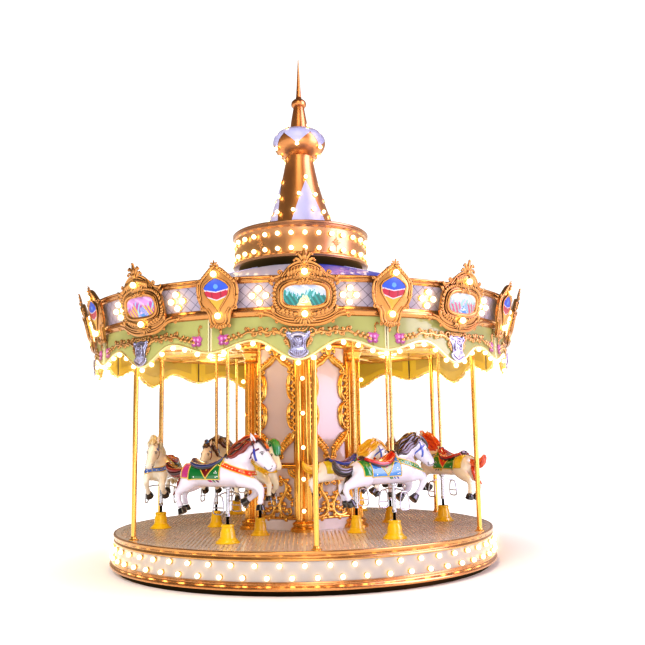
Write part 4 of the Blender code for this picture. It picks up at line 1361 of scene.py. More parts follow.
def shield_frame():
    """The small frame: a lozenge with roped shoulders, curled waist and a drop at its foot."""
    whole = Shape()
    side = [(0, 2.236), (0.04, 2.244), (0.08, 2.276), (0.094, 2.33), (0.118, 2.38), (0.156, 2.43),
            (0.176, 2.5), (0.178, 2.58), (0.16, 2.628), (0.11, 2.68), (0.056, 2.73), (0, 2.756)]
    filled_outline(whole, whole_outline(side), 0.014, 0.026, 0.018)
    loop_tube(whole, shield_outline(1.14, 0.034), 0.007)
    half = Shape()
    strip(half, side[4:9], (0.008, 0.012, 0.012, 0.009), 0.018, 24)
    strip(half, [(0.152, 2.47), (0.158, 2.56), (0.142, 2.61), (0.098, 2.66), (0.04, 2.712)],
          (0.005, 0.007, 0.005), 0.024, 24)
    strip(half, [(0.098, 2.4), (0.062, 2.35), (0.058, 2.3), (0.036, 2.268), (0.0, 2.262)],
          (0.006, 0.009, 0.008), 0.024, 24)
    strip(half, [(0.134, 2.404), (0.1, 2.372), (0.09, 2.322), (0.076, 2.276), (0.04, 2.246), (0.0, 2.238)],
          (0.008, 0.012, 0.011), 0.018, 24)
    for place in range(8):
        share = place / 7
        leaf(half, (between(0.176, 0.02, share), between(2.606, 2.742, share)), 152 - 10 * share, 0.046,
             0.026, 1.0, 0.02)
    curl(half, (0.146, 2.398), 0.02, 100, -330, 0.009, 0.02)
    curl(half, (0.186, 2.626), 0.014, 200, -300, 0.008, 0.018)
    curl(half, (0.078, 2.25), 0.016, 120, -330, 0.008, 0.018)
    leaf(half, (0.18, 2.52), -96, 0.07, 0.026, -0.8, 0.018)
    for place in range(3):
        leaf(half, (0.006 + 0.016 * place, 2.272), -86 + 18 * place, 0.052 - 0.006 * place, 0.019, 0.2,
             0.026)
    leaf(half, (0.0, 2.232), -88, 0.05, 0.022, 0.0, 0.014)
    bud(half, 2.742, 0.42)
    whole.add(mirrored(half))
    return whole


SHIELD_MIDDLE = 2.52


def shield_outline(size, out):
    """The shield inside the small frame: pointed above and below."""
    side = ((0, -0.142), (0.022, -0.104), (0.058, -0.058), (0.092, -0.01), (0.104, 0.04), (0.086, 0.066),
            (0.046, 0.094), (0, 0.114))
    return whole_outline([(across * size, SHIELD_MIDDLE + height * size) for across, height in side], out)


def make_pictures():
    """A soft garden view in each large frame: sky, hills, bushes, a mound and water, in three moods."""
    moods = (("#b9c4e0", "#1d9090", "#c9cc7c", "#0e6a68", "#8fc4d8", "#e2e6f0"),
             ("#b8d0d8", "#88b8b0", "#3a80d8", "#c04a78", "#c8a0d8", "#e0e8e8"),
             ("#c890d0", "#b048a0", "#3a86d0", "#d0b040", "#88c4e0", "#e0b0dc"))
    centre = 2.476
    half_across = 0.184
    half_height = 0.094
    for mood, codes in enumerate(moods):
        def paint_of(u, v):
            across = (u - 0.5) * 6.0
            ruffle = 0.03 * math.sin(11 * across + 9 * v + mood) + 0.02 * math.sin(23 * across - 14 * v)
            hill = 0.62 + 0.12 * math.sin(1.9 * across + 1.3 * mood) + 2 * ruffle
            bush = 0.4 + 0.16 * math.sin(1.4 * abs(across) - 1.2 + 0.6 * mood) + 2 * ruffle
            mound = 0.5 - 0.42 * (across - 0.3 * mood) ** 2 + ruffle
            if v < mound:
                return 2 if math.sin(31 * across + 40 * v) < 0.5 else 5
            if v < bush and abs(across) > 0.55:
                return 3 if math.sin(9 * across + 17 * v) < 0.35 else 1
            if v < 0.24 + ruffle:
                return 4
            if v < hill:
                return 1 if math.sin(7 * across - 12 * v + mood) < 0.55 else 4
            return 5 if math.sin(3 * across + 16 * v + mood) > 0.6 else 0

        def point_of(u, v):
            turn = 2 * math.pi * u
            c = math.cos(turn)
            s = math.sin(turn)
            across = v * half_across * math.copysign(abs(c) ** (2 / 3.2), c)
            rise = v * half_height * math.copysign(abs(s) ** (2 / 3.2), s)
            return Vector((across, -0.024 - 0.01 * (1 - v * v), centre + rise))

        def laid_paint(u, v):
            spot = point_of(u, v)
            return paint_of(0.5 + spot.x / (2 * half_across), 0.5 + (spot.z - centre) / (2 * half_height))

        flat = Shape()
        flat.sheet(point_of, 120, 30, paint_of=laid_paint)
        view = flat.moved(on_wall(frame_radius))
        palette = [colour(code) for code in codes]
        piece = repeat_panels(view, f"garden_views_{mood + 1}", PANEL_PAINT, palette=palette, smooth=60,
                              angles=FRAME_ANGLES[2 * mood::6])
        settle(piece, "sage_panel")


def make_shield_fields():
    """Plain fields: a blue head with a paler disc painted on it as a highlight, a crimson belt, an ochre foot
    and thin pale lines.
    """
    outline = shield_outline(1.06, 0.033)
    centre = Vector((0, -0.04, 2.515))

    def point_of(u, v):
        place = u * len(outline)
        before = outline[int(place) % len(outline)]
        after = outline[(int(place) + 1) % len(outline)]
        edge = before.lerp(after, place - int(place))
        return centre.lerp(edge, v)

    def paint_of(u, v):
        spot = point_of(u, v)
        across = abs(spot.x)
        height = spot.z - SHIELD_MIDDLE
        head = 0.006 + 0.2 * across
        foot = -0.06 + 0.35 * across
        if abs(height - head) < 0.0045 or abs(height - foot) < 0.0045:
            return 3
        if height > head:
            # The paler disc in the blue head is a painted highlight.
            reach = math.hypot(spot.x, height - 0.054)
            return 4 if reach < 0.02 else 0
        if height > foot:
            return 5 if abs(across - 0.04) < 0.006 else 1
        return 2

    flat = Shape()
    flat.sheet(point_of, 98, 32, paint_of=paint_of)
    field = flat.moved(on_wall(frame_radius))
    palette = [colour(code) for code in ("#1a50cc", "#b4103c", "#c8a030", "#cfc4d4", "#5a96e4", "#8a0c30")]
    settle(repeat_panels(field, "shield_fields", PANEL_PAINT, palette=palette, smooth=60,
                         angles=FRAME_ANGLES[1::2]),
           "sage_panel")


ROOF_ORDER = (1, 0, 1, 0, 1, 0, 1, 0, 0)


def make_roof():
    """Roof gores in pale lilac and royal blue, with a raised seam at each join."""
    gores = 9
    foot = (2.168, ROOF_LOW + 0.026)
    top = (0.72, ROOF_TOP)
    roof = Shape()

    def point_of(u, v):
        sag = 0.012 * math.sin(math.pi * v) * math.sin(math.pi * ((u * gores) % 1.0))
        return polar(between(foot[0], top[0], v), u * 360, between(foot[1], top[1], v) + sag)

    roof.sheet(point_of, gores * 16, 14, paint_of=lambda u, v: ROOF_ORDER[int(u * gores)])
    roof.sheet(lambda u, v: polar(between(top[0], 0.62, v), u * 360, ROOF_TOP), gores * 16, 1)
    palette = [colour("#bfc0de"), colour("#0648e4")]
    piece = roof.piece("roof_gores", PANEL_PAINT, 50, palette)
    settle(piece, "lavender_canvas", "roof")
    seam = Shape()
    seam.tube([polar(foot[0], 0, foot[1] + 0.002), polar(top[0], 0, top[1] + 0.002)], 0.006, 8)
    settle(repeat_panels(seam, "roof_seams", LILAC, gores), "gold_paint")
    lamps = 36
    for count in range(lamps):
        angle = (count + 0.5) * 360 / lamps
        lamp(polar(2.12, angle, 2.64), polar(0.5, angle, 1.0), 0.9)


# Crown and spire

STAR_ANGLES = (30.9, 85.4, 150.9, 205.4, 270.9, 325.4)


def make_crown():
    """The round drum with its two rows of lamps and small stars, above a black ring that is a painted shadow.
    """
    # The black ring under the drum is a painted shadow: it stands for the shade beneath the drum.
    ring = Shape()
    ring.turned([(0.3, ROOF_TOP + 0.0005), (0.7, ROOF_TOP + 0.0005), (0.7, 3.178), (0.3, 3.178)], 96)
    settle(ring.piece("crown_shadow_ring", BLACK, 30), "black_steel")
    drum = Shape()
    profile = [(0.3, 3.179), (0.765, 3.179)] + ogee((0.77, 3.181), (0.78, 3.2)) + [(0.78, 3.208)]
    profile += ogee((0.776, 3.212), (0.757, 3.228)) + [(0.755, 3.236), (0.755, 3.49)]
    profile += ogee((0.758, 3.496), (0.778, 3.514)) + [(0.781, 3.52), (0.772, 3.526)] + ogee((0.772, 3.53),
                                                                                             (0.783, 3.545))
    profile += [(0.783, 3.556), (0.772, 3.565), (0.3, 3.565)]
    narrowed = 0.98
    drum.turned([(radius * narrowed, height) for radius, height in profile])
    settle(drum.piece("crown_gilding", CROWN_GOLD, 30), "gold_paint", "crown_drum")
    rows = 33
    for count in range(rows):
        angle = count * 360 / rows + 3.6
        for height in (3.425, 3.262):
            lamp(polar(0.742, angle, height), polar(1, angle), 1.15)
    star = Shape()
    for ray in range(8):
        leaf(star, (0, 3.345), 45 * ray, 0.04 if ray % 2 else 0.056, 0.015, 0.0, 0.003)
    star.tube([Vector((0, -0.002, 3.245)), Vector((0, -0.002, 3.48))], 0.0022, 6)
    laid = star.moved(on_wall(lambda height: 0.74))
    settle(repeat_panels(laid, "crown_stars", BASE_GOLD, smooth=60, angles=STAR_ANGLES), "gold_paint")


FLARE = [(0.42, 3.566), (0.38, 3.66), (0.345, 3.77), (0.305, 3.885), (0.268, 4.0), (0.236, 4.11),
         (0.208, 4.22), (0.184, 4.33), (0.165, 4.43)]
ONION = [(0.165, 4.5), (0.215, 4.528), (0.262, 4.578), (0.29, 4.628), (0.303, 4.68), (0.292, 4.735),
         (0.258, 4.785), (0.2, 4.82), (0.14, 4.84), (0.104, 4.85)]


def radius_on(profile, height):
    """The radius of a turned outline at a height."""
    for (low_radius, low), (high_radius, high) in zip(profile, profile[1:]):
        if low <= height <= high:
            return between(low_radius, high_radius, (height - low) / (high - low))
    return profile[-1][0]


def make_spire():
    """Flare, onion, neck, ball and needle, with pale pointed fields edged in lamps."""
    body = Shape()
    profile = [(0.06, 3.566)] + FLARE + ONION + [(0.102, 4.858)]
    profile += [(0.092, 4.95), (0.078, 5.03), (0.064, 5.11), (0.06, 5.125), (0.074, 5.132), (0.086, 5.15)]
    profile += [(0.088, 5.168), (0.082, 5.192), (0.064, 5.212), (0.044, 5.222), (0.036, 5.23),
                (0.03, 5.262), (0.022, 5.38), (0.014, 5.54), (0.004, SPIRE_TOP), (0.0005, SPIRE_TOP)]
    body.turned(profile, 96, closed=False)
    settle(body.piece("spire_gilding", BRONZE, 35), "gold_paint", "spire")

    fields = Shape()
    points = 4
    low = 3.57
    apex = 4.18
    half_width = 0.25
    for count in range(points):
        centre = 17.0 + count * 360 / points

        def flare_point(u, v, centre=centre):
            height = between(low, apex, v)
            reach = radius_on(FLARE, height) + 0.003
            spread = math.degrees(half_width * (1 - v) / reach)
            return polar(reach, centre + (u - 0.5) * 2 * spread, height)
        fields.sheet(flare_point, 18, 22)
        spots = [(height, side * (half_width * (apex - height) / (apex - low) + 0.012))
                 for height in (3.595, 3.785, 3.99) for side in (-1, 1)]
        for height, across in spots + [(4.204, 0.0), (3.8, 0.045), (3.605, -0.075), (3.605, 0.11)]:
            reach = radius_on(FLARE, height)
            angle = centre + math.degrees(across / reach)
            lamp(polar(reach + 0.003, angle, height), polar(1, angle, 0.3))
    petals = 6
    for count in range(petals):
        centre = -5 + count * 360 / petals

        def onion_point(u, v, centre=centre):
            height = between(4.59, 4.848, v)
            spread = 30 * min(1.0, 1.9 * v)
            return polar(radius_on(ONION, height) + 0.003, centre + (u - 0.5) * 2 * spread, height)
        fields.sheet(onion_point, 14, 14)
        lamp(polar(radius_on(ONION, 4.585) + 0.003, centre, 4.585), polar(1, centre, -0.2))
        lamp(polar(radius_on(ONION, 4.8) + 0.003, centre + 30, 4.8), polar(1, centre + 30, 0.9))
    for angle in (78, 128, 232, 282):
        lamp(polar(radius_on(ONION, 4.525), angle, 4.525), polar(1, angle, -0.8))
    settle(fields.piece("spire_fields", LILAC, 50, merge=False), "lavender_canvas")


# Horses

HORSE_LIFT = 0.97
INNER_SCALE = 0.85
HORSE_ORBITS = (1.54, 0.95)
HORSE_FIRST_ANGLE = -27
HORSE_TURNS = (0, 0, 28, 0, 0, -8, -34, -8, -18, -18, -18, -18)
POLE_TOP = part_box("horse_pole_1")[1].z

ROLE_COUNT = 19
(COAT, HOOF, MANE, STREAK, SEAT, SEAT_EDGE, BLANKET, TRIM, WEDGE, FLAME, REAR, COLLAR, STUD, BRIDLE, STRAP,
 BLACK_EYE, BLUSH, WHITE_DOTS_AND_EYE_GLINT, MANE_LIGHT) = range(ROLE_COUNT)

TORSO = [(-0.498, 1.005, 0.03, 0.04), (-0.474, 0.995, 0.076, 0.082), (-0.43, 0.985, 0.104, 0.112),
         (-0.365, 0.978, 0.114, 0.13), (-0.28, 0.968, 0.105, 0.125), (-0.185, 0.965, 0.103, 0.123),
         (-0.08, 0.975, 0.115, 0.127), (0.02, 0.988, 0.13, 0.132), (0.11, 0.998, 0.138, 0.132),
         (0.175, 0.985, 0.128, 0.12), (0.225, 0.97, 0.1, 0.095), (0.262, 0.955, 0.05, 0.05)]
NECK = [(0.06, 1.03, 0.135, 0.09), (0.105, 1.085, 0.122, 0.08), (0.15, 1.14, 0.105, 0.068),
        (0.195, 1.19, 0.088, 0.06), (0.24, 1.23, 0.07, 0.052), (0.275, 1.25, 0.05, 0.045)]
HEAD = [(0.255, 1.255, 0.05, 0.04), (0.295, 1.215, 0.08, 0.05), (0.34, 1.165, 0.088, 0.055),
        (0.385, 1.12, 0.078, 0.05), (0.425, 1.082, 0.064, 0.043), (0.455, 1.055, 0.056, 0.042),
        (0.478, 1.034, 0.046, 0.038), (0.492, 1.02, 0.022, 0.022)]
FAR_FORELEG = (1, [(0.165, 0.94, 0.085, 0.05), (0.225, 0.885, 0.056, 0.042), (0.262, 0.838, 0.04, 0.034),
                   (0.245, 0.8, 0.034, 0.03), (0.205, 0.77, 0.026, 0.025), (0.172, 0.752, 0.033, 0.031)],
               (0.168, 0.75, 0.122, 0.716))
LEGS = (
    (
        (-1, [(0.175, 0.955, 0.09, 0.052), (0.265, 0.92, 0.064, 0.046), (0.35, 0.89, 0.048, 0.038),
              (0.398, 0.85, 0.038, 0.033), (0.402, 0.8, 0.028, 0.026), (0.394, 0.755, 0.027, 0.026),
              (0.39, 0.728, 0.035, 0.033)], (0.39, 0.722, 0.394, 0.674)),
        FAR_FORELEG,
        (-1, [(-0.355, 0.965, 0.112, 0.072), (-0.395, 0.905, 0.084, 0.058), (-0.445, 0.855, 0.056, 0.042),
              (-0.495, 0.815, 0.037, 0.032), (-0.497, 0.765, 0.028, 0.026), (-0.478, 0.71, 0.027, 0.026),
              (-0.465, 0.68, 0.035, 0.032)], (-0.461, 0.672, -0.44, 0.622)),
        (1, [(-0.35, 0.965, 0.11, 0.07), (-0.4, 0.905, 0.082, 0.058), (-0.462, 0.858, 0.056, 0.042),
             (-0.525, 0.822, 0.037, 0.032), (-0.535, 0.775, 0.028, 0.026), (-0.53, 0.72, 0.026, 0.025),
             (-0.525, 0.69, 0.034, 0.031)], (-0.524, 0.684, -0.51, 0.634)),
    ),
    (
        (-1, [(0.175, 0.965, 0.09, 0.052), (0.245, 0.945, 0.064, 0.046), (0.3, 0.915, 0.046, 0.038),
              (0.302, 0.868, 0.037, 0.033), (0.27, 0.818, 0.026, 0.025), (0.235, 0.776, 0.026, 0.025),
              (0.212, 0.752, 0.034, 0.031)], (0.208, 0.748, 0.16, 0.71)),
        FAR_FORELEG,
        (-1, [(-0.365, 0.968, 0.112, 0.072), (-0.43, 0.935, 0.084, 0.058), (-0.512, 0.9, 0.056, 0.042),
              (-0.6, 0.868, 0.037, 0.032), (-0.612, 0.828, 0.029, 0.027), (-0.59, 0.78, 0.026, 0.025),
              (-0.572, 0.752, 0.034, 0.031)], (-0.569, 0.745, -0.545, 0.697)),
        (1, [(-0.35, 0.965, 0.11, 0.07), (-0.41, 0.92, 0.08, 0.058), (-0.48, 0.885, 0.054, 0.042),
             (-0.545, 0.855, 0.036, 0.031), (-0.545, 0.815, 0.028, 0.026), (-0.522, 0.76, 0.026, 0.025),
             (-0.508, 0.735, 0.034, 0.031)], (-0.505, 0.735, -0.48, 0.687)),
    ),
)

SCHEMES = {
    "chestnut": {COAT: "#dcd6e4", MANE_LIGHT: "#7a1e16", MANE: "#3a0c0a", STREAK: "#e0661c",
                 SEAT: "#222c5c", SEAT_EDGE: "#14141e",
                 BLANKET: "#0a6a30", WEDGE: "#6a0f10", FLAME: "#e88a1c", REAR: "#b03a78", COLLAR: "#d8341a",
                 STUD: "#f4dcb0", BRIDLE: "#2c3aa0", STRAP: "#5a2050"},
    "brown": {COAT: "#dad8ea", MANE_LIGHT: "#3c2420", MANE: "#1c1012", STREAK: "#8a6c30", SEAT: "#c01c18",
              SEAT_EDGE: "#3a0c10",
              BLANKET: "#1f7ecf", WEDGE: "#8f9a2c", FLAME: "#e0507c", REAR: "#12803a", COLLAR: "#1f8a5a",
              STUD: "#cfe0b0", BRIDLE: "#2a4cb8", STRAP: "#2a4cb8"},
    "gold": {COAT: "#f4ead6", MANE_LIGHT: "#d8a040", MANE: "#b8792a", STREAK: "#e8c060", SEAT: "#a01c1c",
             SEAT_EDGE: "#2a1010",
             BLANKET: "#1c8088", WEDGE: "#c02a24", FLAME: "#f0c030", REAR: "#e0a41c", COLLAR: "#2a58a8",
             STUD: "#f0e0a0", BRIDLE: "#6a3420", STRAP: "#2a58a8"},
    "flame": {COAT: "#f2e8d2", MANE_LIGHT: "#e85a20", MANE: "#d03a14", STREAK: "#f07a2c", SEAT: "#b81c18",
              SEAT_EDGE: "#4a1010",
              BLANKET: "#128a2c", WEDGE: "#d8341a", FLAME: "#f4d040", REAR: "#e8c828", COLLAR: "#2c74b8",
              STUD: "#f0e0a0", BRIDLE: "#2a6ab0", STRAP: "#8a2a1c"},
    "green": {COAT: "#f2ead2", MANE_LIGHT: "#16944a", MANE: "#0a7a34", STREAK: "#28a854", SEAT: "#b8841c",
              SEAT_EDGE: "#4a3010",
              BLANKET: "#2a9a8a", WEDGE: "#d05a1c", FLAME: "#f4d040", REAR: "#c02a3c", COLLAR: "#e8b81c",
              STUD: "#8a9a2c", BRIDLE: "#c8401c", STRAP: "#e8b81c"},
    "yellow": {COAT: "#f0ece4", MANE_LIGHT: "#f0c030", MANE: "#e0a418", STREAK: "#f6d860", SEAT: "#2440b0",
               SEAT_EDGE: "#10184a",
               BLANKET: "#14803a", WEDGE: "#c82a2c", FLAME: "#f0d8e0", REAR: "#d8c82c", COLLAR: "#e0c43c",
               STUD: "#c02a3c", BRIDLE: "#2a58c0", STRAP: "#2a58c0"},
    "pale": {COAT: "#f6eedc", MANE_LIGHT: "#e6d8b4", MANE: "#c8b284", STREAK: "#e6c060", SEAT: "#a82430",
             SEAT_EDGE: "#2a1010",
             BLANKET: "#1c7a88", WEDGE: "#c8a424", FLAME: "#c02a24", REAR: "#7a2a6a", COLLAR: "#3460b0",
             STUD: "#e8e8f0", BRIDLE: "#8a6a3a", STRAP: "#3460b0"},
    "blue": {COAT: "#f2eada", MANE_LIGHT: "#5a3424", MANE: "#3a2018", STREAK: "#4a90d8", SEAT: "#5a3a8a",
             SEAT_EDGE: "#20123a",
             BLANKET: "#c8a41c", WEDGE: "#1f6a9a", FLAME: "#f0e080", REAR: "#9a2a5c", COLLAR: "#4a90d8",
             STUD: "#f0e8d8", BRIDLE: "#8a2a1c", STRAP: "#4a90d8"},
}
SHARED_SHADES = {HOOF: "#121013", TRIM: "#d8b84c", BLACK_EYE: "#0c0b10", BLUSH: "#c89a90",
                 WHITE_DOTS_AND_EYE_GLINT: "#f6f6fa"}
HORSE_SCHEMES = ("chestnut", "brown", "flame", "gold", "blue", "pale", "green", "yellow", "chestnut",
                 "flame", "brown", "blue")


def limb(shape, stations, y_of=lambda share: 0.0, sides=16):
    """A rounded limb through (x, z, half depth, half width) stations."""
    rows = []
    for count, (x, z, depth, width) in enumerate(stations):
        before = stations[max(count - 1, 0)]
        after = stations[min(count + 1, len(stations) - 1)]
        along = Vector((after[0] - before[0], 0, after[1] - before[1])).normalized()
        up = along.cross(Vector((0, 1, 0)))
        centre = Vector((x, y_of(count / (len(stations) - 1)), z))
        rows.append([centre + up * (depth * math.cos(2 * math.pi * step / sides))
                     + Vector((0, width * math.sin(2 * math.pi * step / sides),
                               0)) for step in range(sides)])
    shape.band(rows, COAT, caps=True)


def leg_side(side):
    """Legs start inside the body and stand a little outwards."""
    return lambda share: side * between(0.068, 0.08, min(1.0, share * 2))


def horse_skin(legs):
    """The bare horse: limbs merged into one smooth skin."""
    rough = Shape()
    limb(rough, TORSO, sides=24)
    limb(rough, NECK, sides=20)
    limb(rough, HEAD, sides=20)
    for side, stations, _ in legs:
        limb(rough, stations, leg_side(side))
    for side in (-1, 1):
        rough.ball(Vector((0.325, side * 0.034, 1.158)), (0.05, 0.028, 0.056), sides=16, rings=10)
        rough.ball(Vector((0.476, side * 0.024, 1.046)), (0.022, 0.018, 0.02), sides=12, rings=8)
        rough.ball(Vector((0.47, side * 0.014, 1.016)), (0.026, 0.02, 0.014), sides=12, rings=8)
        rough.ball(Vector((0.378, side * 0.046, 1.188)), (0.026, 0.012, 0.016), sides=12, rings=8)
        rough.ball(Vector((0.195, side * 0.058, 0.955)), (0.075, 0.058, 0.085), sides=16, rings=10)
        rough.ball(Vector((-0.375, side * 0.066, 0.955)), (0.095, 0.064, 0.105), sides=16, rings=10)
    source = rough.piece("horse_rough", HORSE_PAINT)
    merge = source.modifiers.new("Skin", "REMESH")
    merge.mode = "VOXEL"
    merge.voxel_size = 0.0118
    soften = source.modifiers.new("Soften", "SMOOTH")
    soften.factor = 0.5
    soften.iterations = 4
    depsgraph = bpy.context.evaluated_depsgraph_get()
    mesh = bpy.data.meshes.new_from_object(source.evaluated_get(depsgraph), depsgraph=depsgraph)
    skin = Shape()
    skin.points = [vertex.co.copy() for vertex in mesh.vertices]
    skin.faces = [tuple(face.vertices) for face in mesh.polygons]
    skin.paints = [COAT] * len(skin.faces)
    bpy.data.objects.remove(source)
    bpy.data.meshes.remove(mesh)
    return skin


class Groom:
    """Lays tack and hair on a bare horse."""

    def __init__(self, skin):
        self.skin = BVHTree.FromPolygons(skin.points, skin.faces)

    def touch(self, centre, way, proud):
        """The skin's outermost point from a centre, standing proud by a little."""
        hit = self.skin.ray_cast(centre + way * 0.6, -way, 1.2)[0]
        if hit is None:
            hit = centre
        return hit + way * proud

    def flank(self, x, angle, side, proud):
        """A point on the body at an angle from straight up."""
        turn = math.radians(angle)
        return self.touch(Vector((x, 0, 0.975)), Vector((0, side * math.sin(turn), math.cos(turn))), proud)

    def cheek(self, x, z, side, proud):
        return self.touch(Vector((x, 0, z)), Vector((0, side, 0)), proud)


def lay_blanket(shape, groom):
    """Blanket, rear panel and wedge on both flanks, edged with gilt piping."""
    front, back, rear = -0.008, -0.345, -0.436
    top, bottom = 12, 106

    def wedge_half(v):
        return 0.102 * (1 - (v - 0.34) / 0.62)

    for side in (-1, 1):
        def main(u, v, side=side):
            return groom.flank(between(back, front, u), between(top, bottom, v), side, 0.006)

        def main_paint(u, v):
            x = abs(between(back, front, u) + 0.162)
            if 0.34 < v < 0.96 and x < wedge_half(v):
                return FLAME if x < 0.026 * (1 - (v - 0.4) / 0.26) else WEDGE
            return BLANKET

        shape.sheet(main, 48, 36, paint_of=main_paint)
        shape.sheet(lambda u, v, side=side: groom.flank(between(rear, back, u), between(16, 100, v), side,
                                                        0.005),
                    12, 24, REAR)
        edges = [[(front, between(top, bottom, t / 20)) for t in range(21)],
                 [(back, between(top, bottom, t / 20)) for t in range(21)],
                 [(rear, between(16, 100, t / 20)) for t in range(21)],
                 [(between(back, front, t / 24), bottom) for t in range(25)],
                 [(between(rear, back, t / 8), 100) for t in range(9)]]
        for lean in (-1, 1):
            shares = [between(0.34, 0.96, t / 16) for t in range(17)]
            edges.append([(-0.162 + lean * wedge_half(v), between(top, bottom, v)) for v in shares])
        for edge in edges:
            shape.tube([groom.flank(x, angle, side, 0.007) for x, angle in edge], 0.005, 6, TRIM)
        for place, paint in ((-0.14, REAR), (-0.12, REAR), (-0.09, BLANKET), (-0.052, STRAP)):
            start = groom.flank(place, bottom + 2, side, 0.004)
            finish = groom.flank(place + 0.03, bottom + 14, side, 0.003)
            shape.tube([start, start.lerp(finish, 0.5), finish], [0.003, 0.007, 0.002], 6, paint)
        for place, angle in ((-0.05, 74), (-0.062, 80), (-0.04, 80), (-0.29, 96), (-0.05, 96), (-0.03, 94)):
            shape.ball(groom.flank(place, angle, side, 0.007), (0.006, 0.003, 0.006), WHITE_DOTS_AND_EYE_GLINT, 8, 5)


def lay_seat(shape):
    """A slim filled saddle with rolled sides and a dark under-edge, from cantle to pommel."""
    line = smooth_path([(-0.366, 1.1, 0.045), (-0.335, 1.084, 0.086), (-0.27, 1.064, 0.104),
                        (-0.2, 1.056, 0.107),
                        (-0.12, 1.066, 0.095), (-0.06, 1.094, 0.068), (-0.006, 1.14, 0.034)], 28)

    def top(u, v):
        x, z, half = line[round(v * 28)]
        across = (u - 0.5) * 2
        return Vector((x, across * half, z + 0.032 - 0.022 * across ** 2))

    shape.slab(top, 14, 28, Vector((0, 0, -0.06)), SEAT)
    for side in (-1, 1):
        roll = [Vector((x, side * half, z)) for x, z, half in line]
        radii = [0.009 + 0.013 * math.sin(math.pi * place / 28) ** 0.6 for place in range(29)]
        shape.tube(roll, radii, 10, SEAT)
        under = [Vector((x, side * (half + 0.004), z - 0.015)) for x, z, half in line]
        shape.tube(under, [radius * 0.75 for radius in radii], 8, SEAT_EDGE)
    for (x, z, half), rise in ((line[0], 0.006), (line[-1], 0.006)):
        shape.ball(Vector((x, 0, z + 0.01)), (0.014, half + 0.008, 0.016 + rise), SEAT_EDGE, 12, 8)


def lay_collar(shape, groom):
    """The studded breast band from the saddle to the chest."""
    centre = Vector((0.095, 0, 1.048))
    forward = Vector((0.289, 0, -0.09)).normalized()
    across = Vector((0, 1, 0))
    rise = across.cross(forward).normalized()
    if rise.z < 0:
        rise = -rise
    reach = 150

    def band(u, v):
        turn = math.radians(between(-reach, reach, u))
        way = forward * math.cos(turn) + across * math.sin(turn)
        return groom.touch(centre + rise * between(-0.021, 0.021, v), way, 0.006)

    shape.sheet(band, 64, 4, COLLAR)
    for edge in (0.0, 1.0):
        shape.tube([band(step / 64, edge) for step in range(65)], 0.0045, 6, TRIM)
    studs = 22
    for step in range(studs):
        shape.ball(band((step + 0.5) / studs, 0.5), (0.009, 0.009, 0.006), STUD if step % 2 else TRIM, 8, 5)


def lay_bridle(shape, groom):
    """Straps, eyes with a painted highlight, nostrils, a smiling mouth and ears."""
    for side in (-1, 1):
        lines = (([(0.31, 1.208), (0.321, 1.16), (0.332, 1.1)], BRIDLE, 0.013),
                 ([(0.246, 1.122), (0.285, 1.164), (0.322, 1.19), (0.362, 1.21)], STRAP, 0.009),
                 ([(0.29, 1.262), (0.3, 1.235), (0.312, 1.205)], STRAP, 0.007))
        for points, paint, radius in lines:
            path = [groom.cheek(x, z, side, 0.001) for x, z in smooth_path(points, 12)]
            shape.tube(path, radius, 8, paint, 0.4, up=Vector((0, side, 0)))
        eye = groom.cheek(0.392, 1.168, side, -0.002)
        shape.ball(eye, (0.013, 0.006, 0.012), BLACK_EYE, 12, 8)
        # The small white ball on each eye is a painted highlight, a glint; the same white also marks the dots
        # on the blanket.
        shape.ball(eye + Vector((0.004, side * 0.005, 0.004)), (0.0035, 0.002, 0.0035), WHITE_DOTS_AND_EYE_GLINT, 8, 5)
        strokes = (([(0.372, 1.172), (0.39, 1.186), (0.41, 1.178)], 0.0035),
                   ([(0.412, 1.045), (0.424, 1.026), (0.446, 1.018), (0.472, 1.026), (0.486, 1.04)], 0.004),
                   ([(0.408, 1.05), (0.412, 1.042)], 0.005))
        for points, radius in strokes:
            path = [groom.cheek(x, z, side, 0.0) for x, z in smooth_path(points, 10)]
            shape.tube(path, radius, 6, BLACK_EYE)
        shape.ball(groom.cheek(0.486, 1.056, side, -0.002), (0.007, 0.005, 0.006), BLACK_EYE, 10, 6)
        ear = [Vector((0.308, side * 0.03, 1.248)), Vector((0.298, side * 0.038, 1.28)),
               Vector((0.284, side * 0.041, 1.315)), Vector((0.268, side * 0.04, 1.352))]
        shape.tube(ear, [0.016, 0.027, 0.022, 0.002], 10, COAT, 0.55, up=Vector((0, side, 0)))
        inner = [point + Vector((0.006, side * 0.01, 0)) for point in ear[:3]]
        shape.tube(inner, [0.006, 0.012, 0.005], 8, BLUSH, 0.5, up=Vector((0, side, 0)))


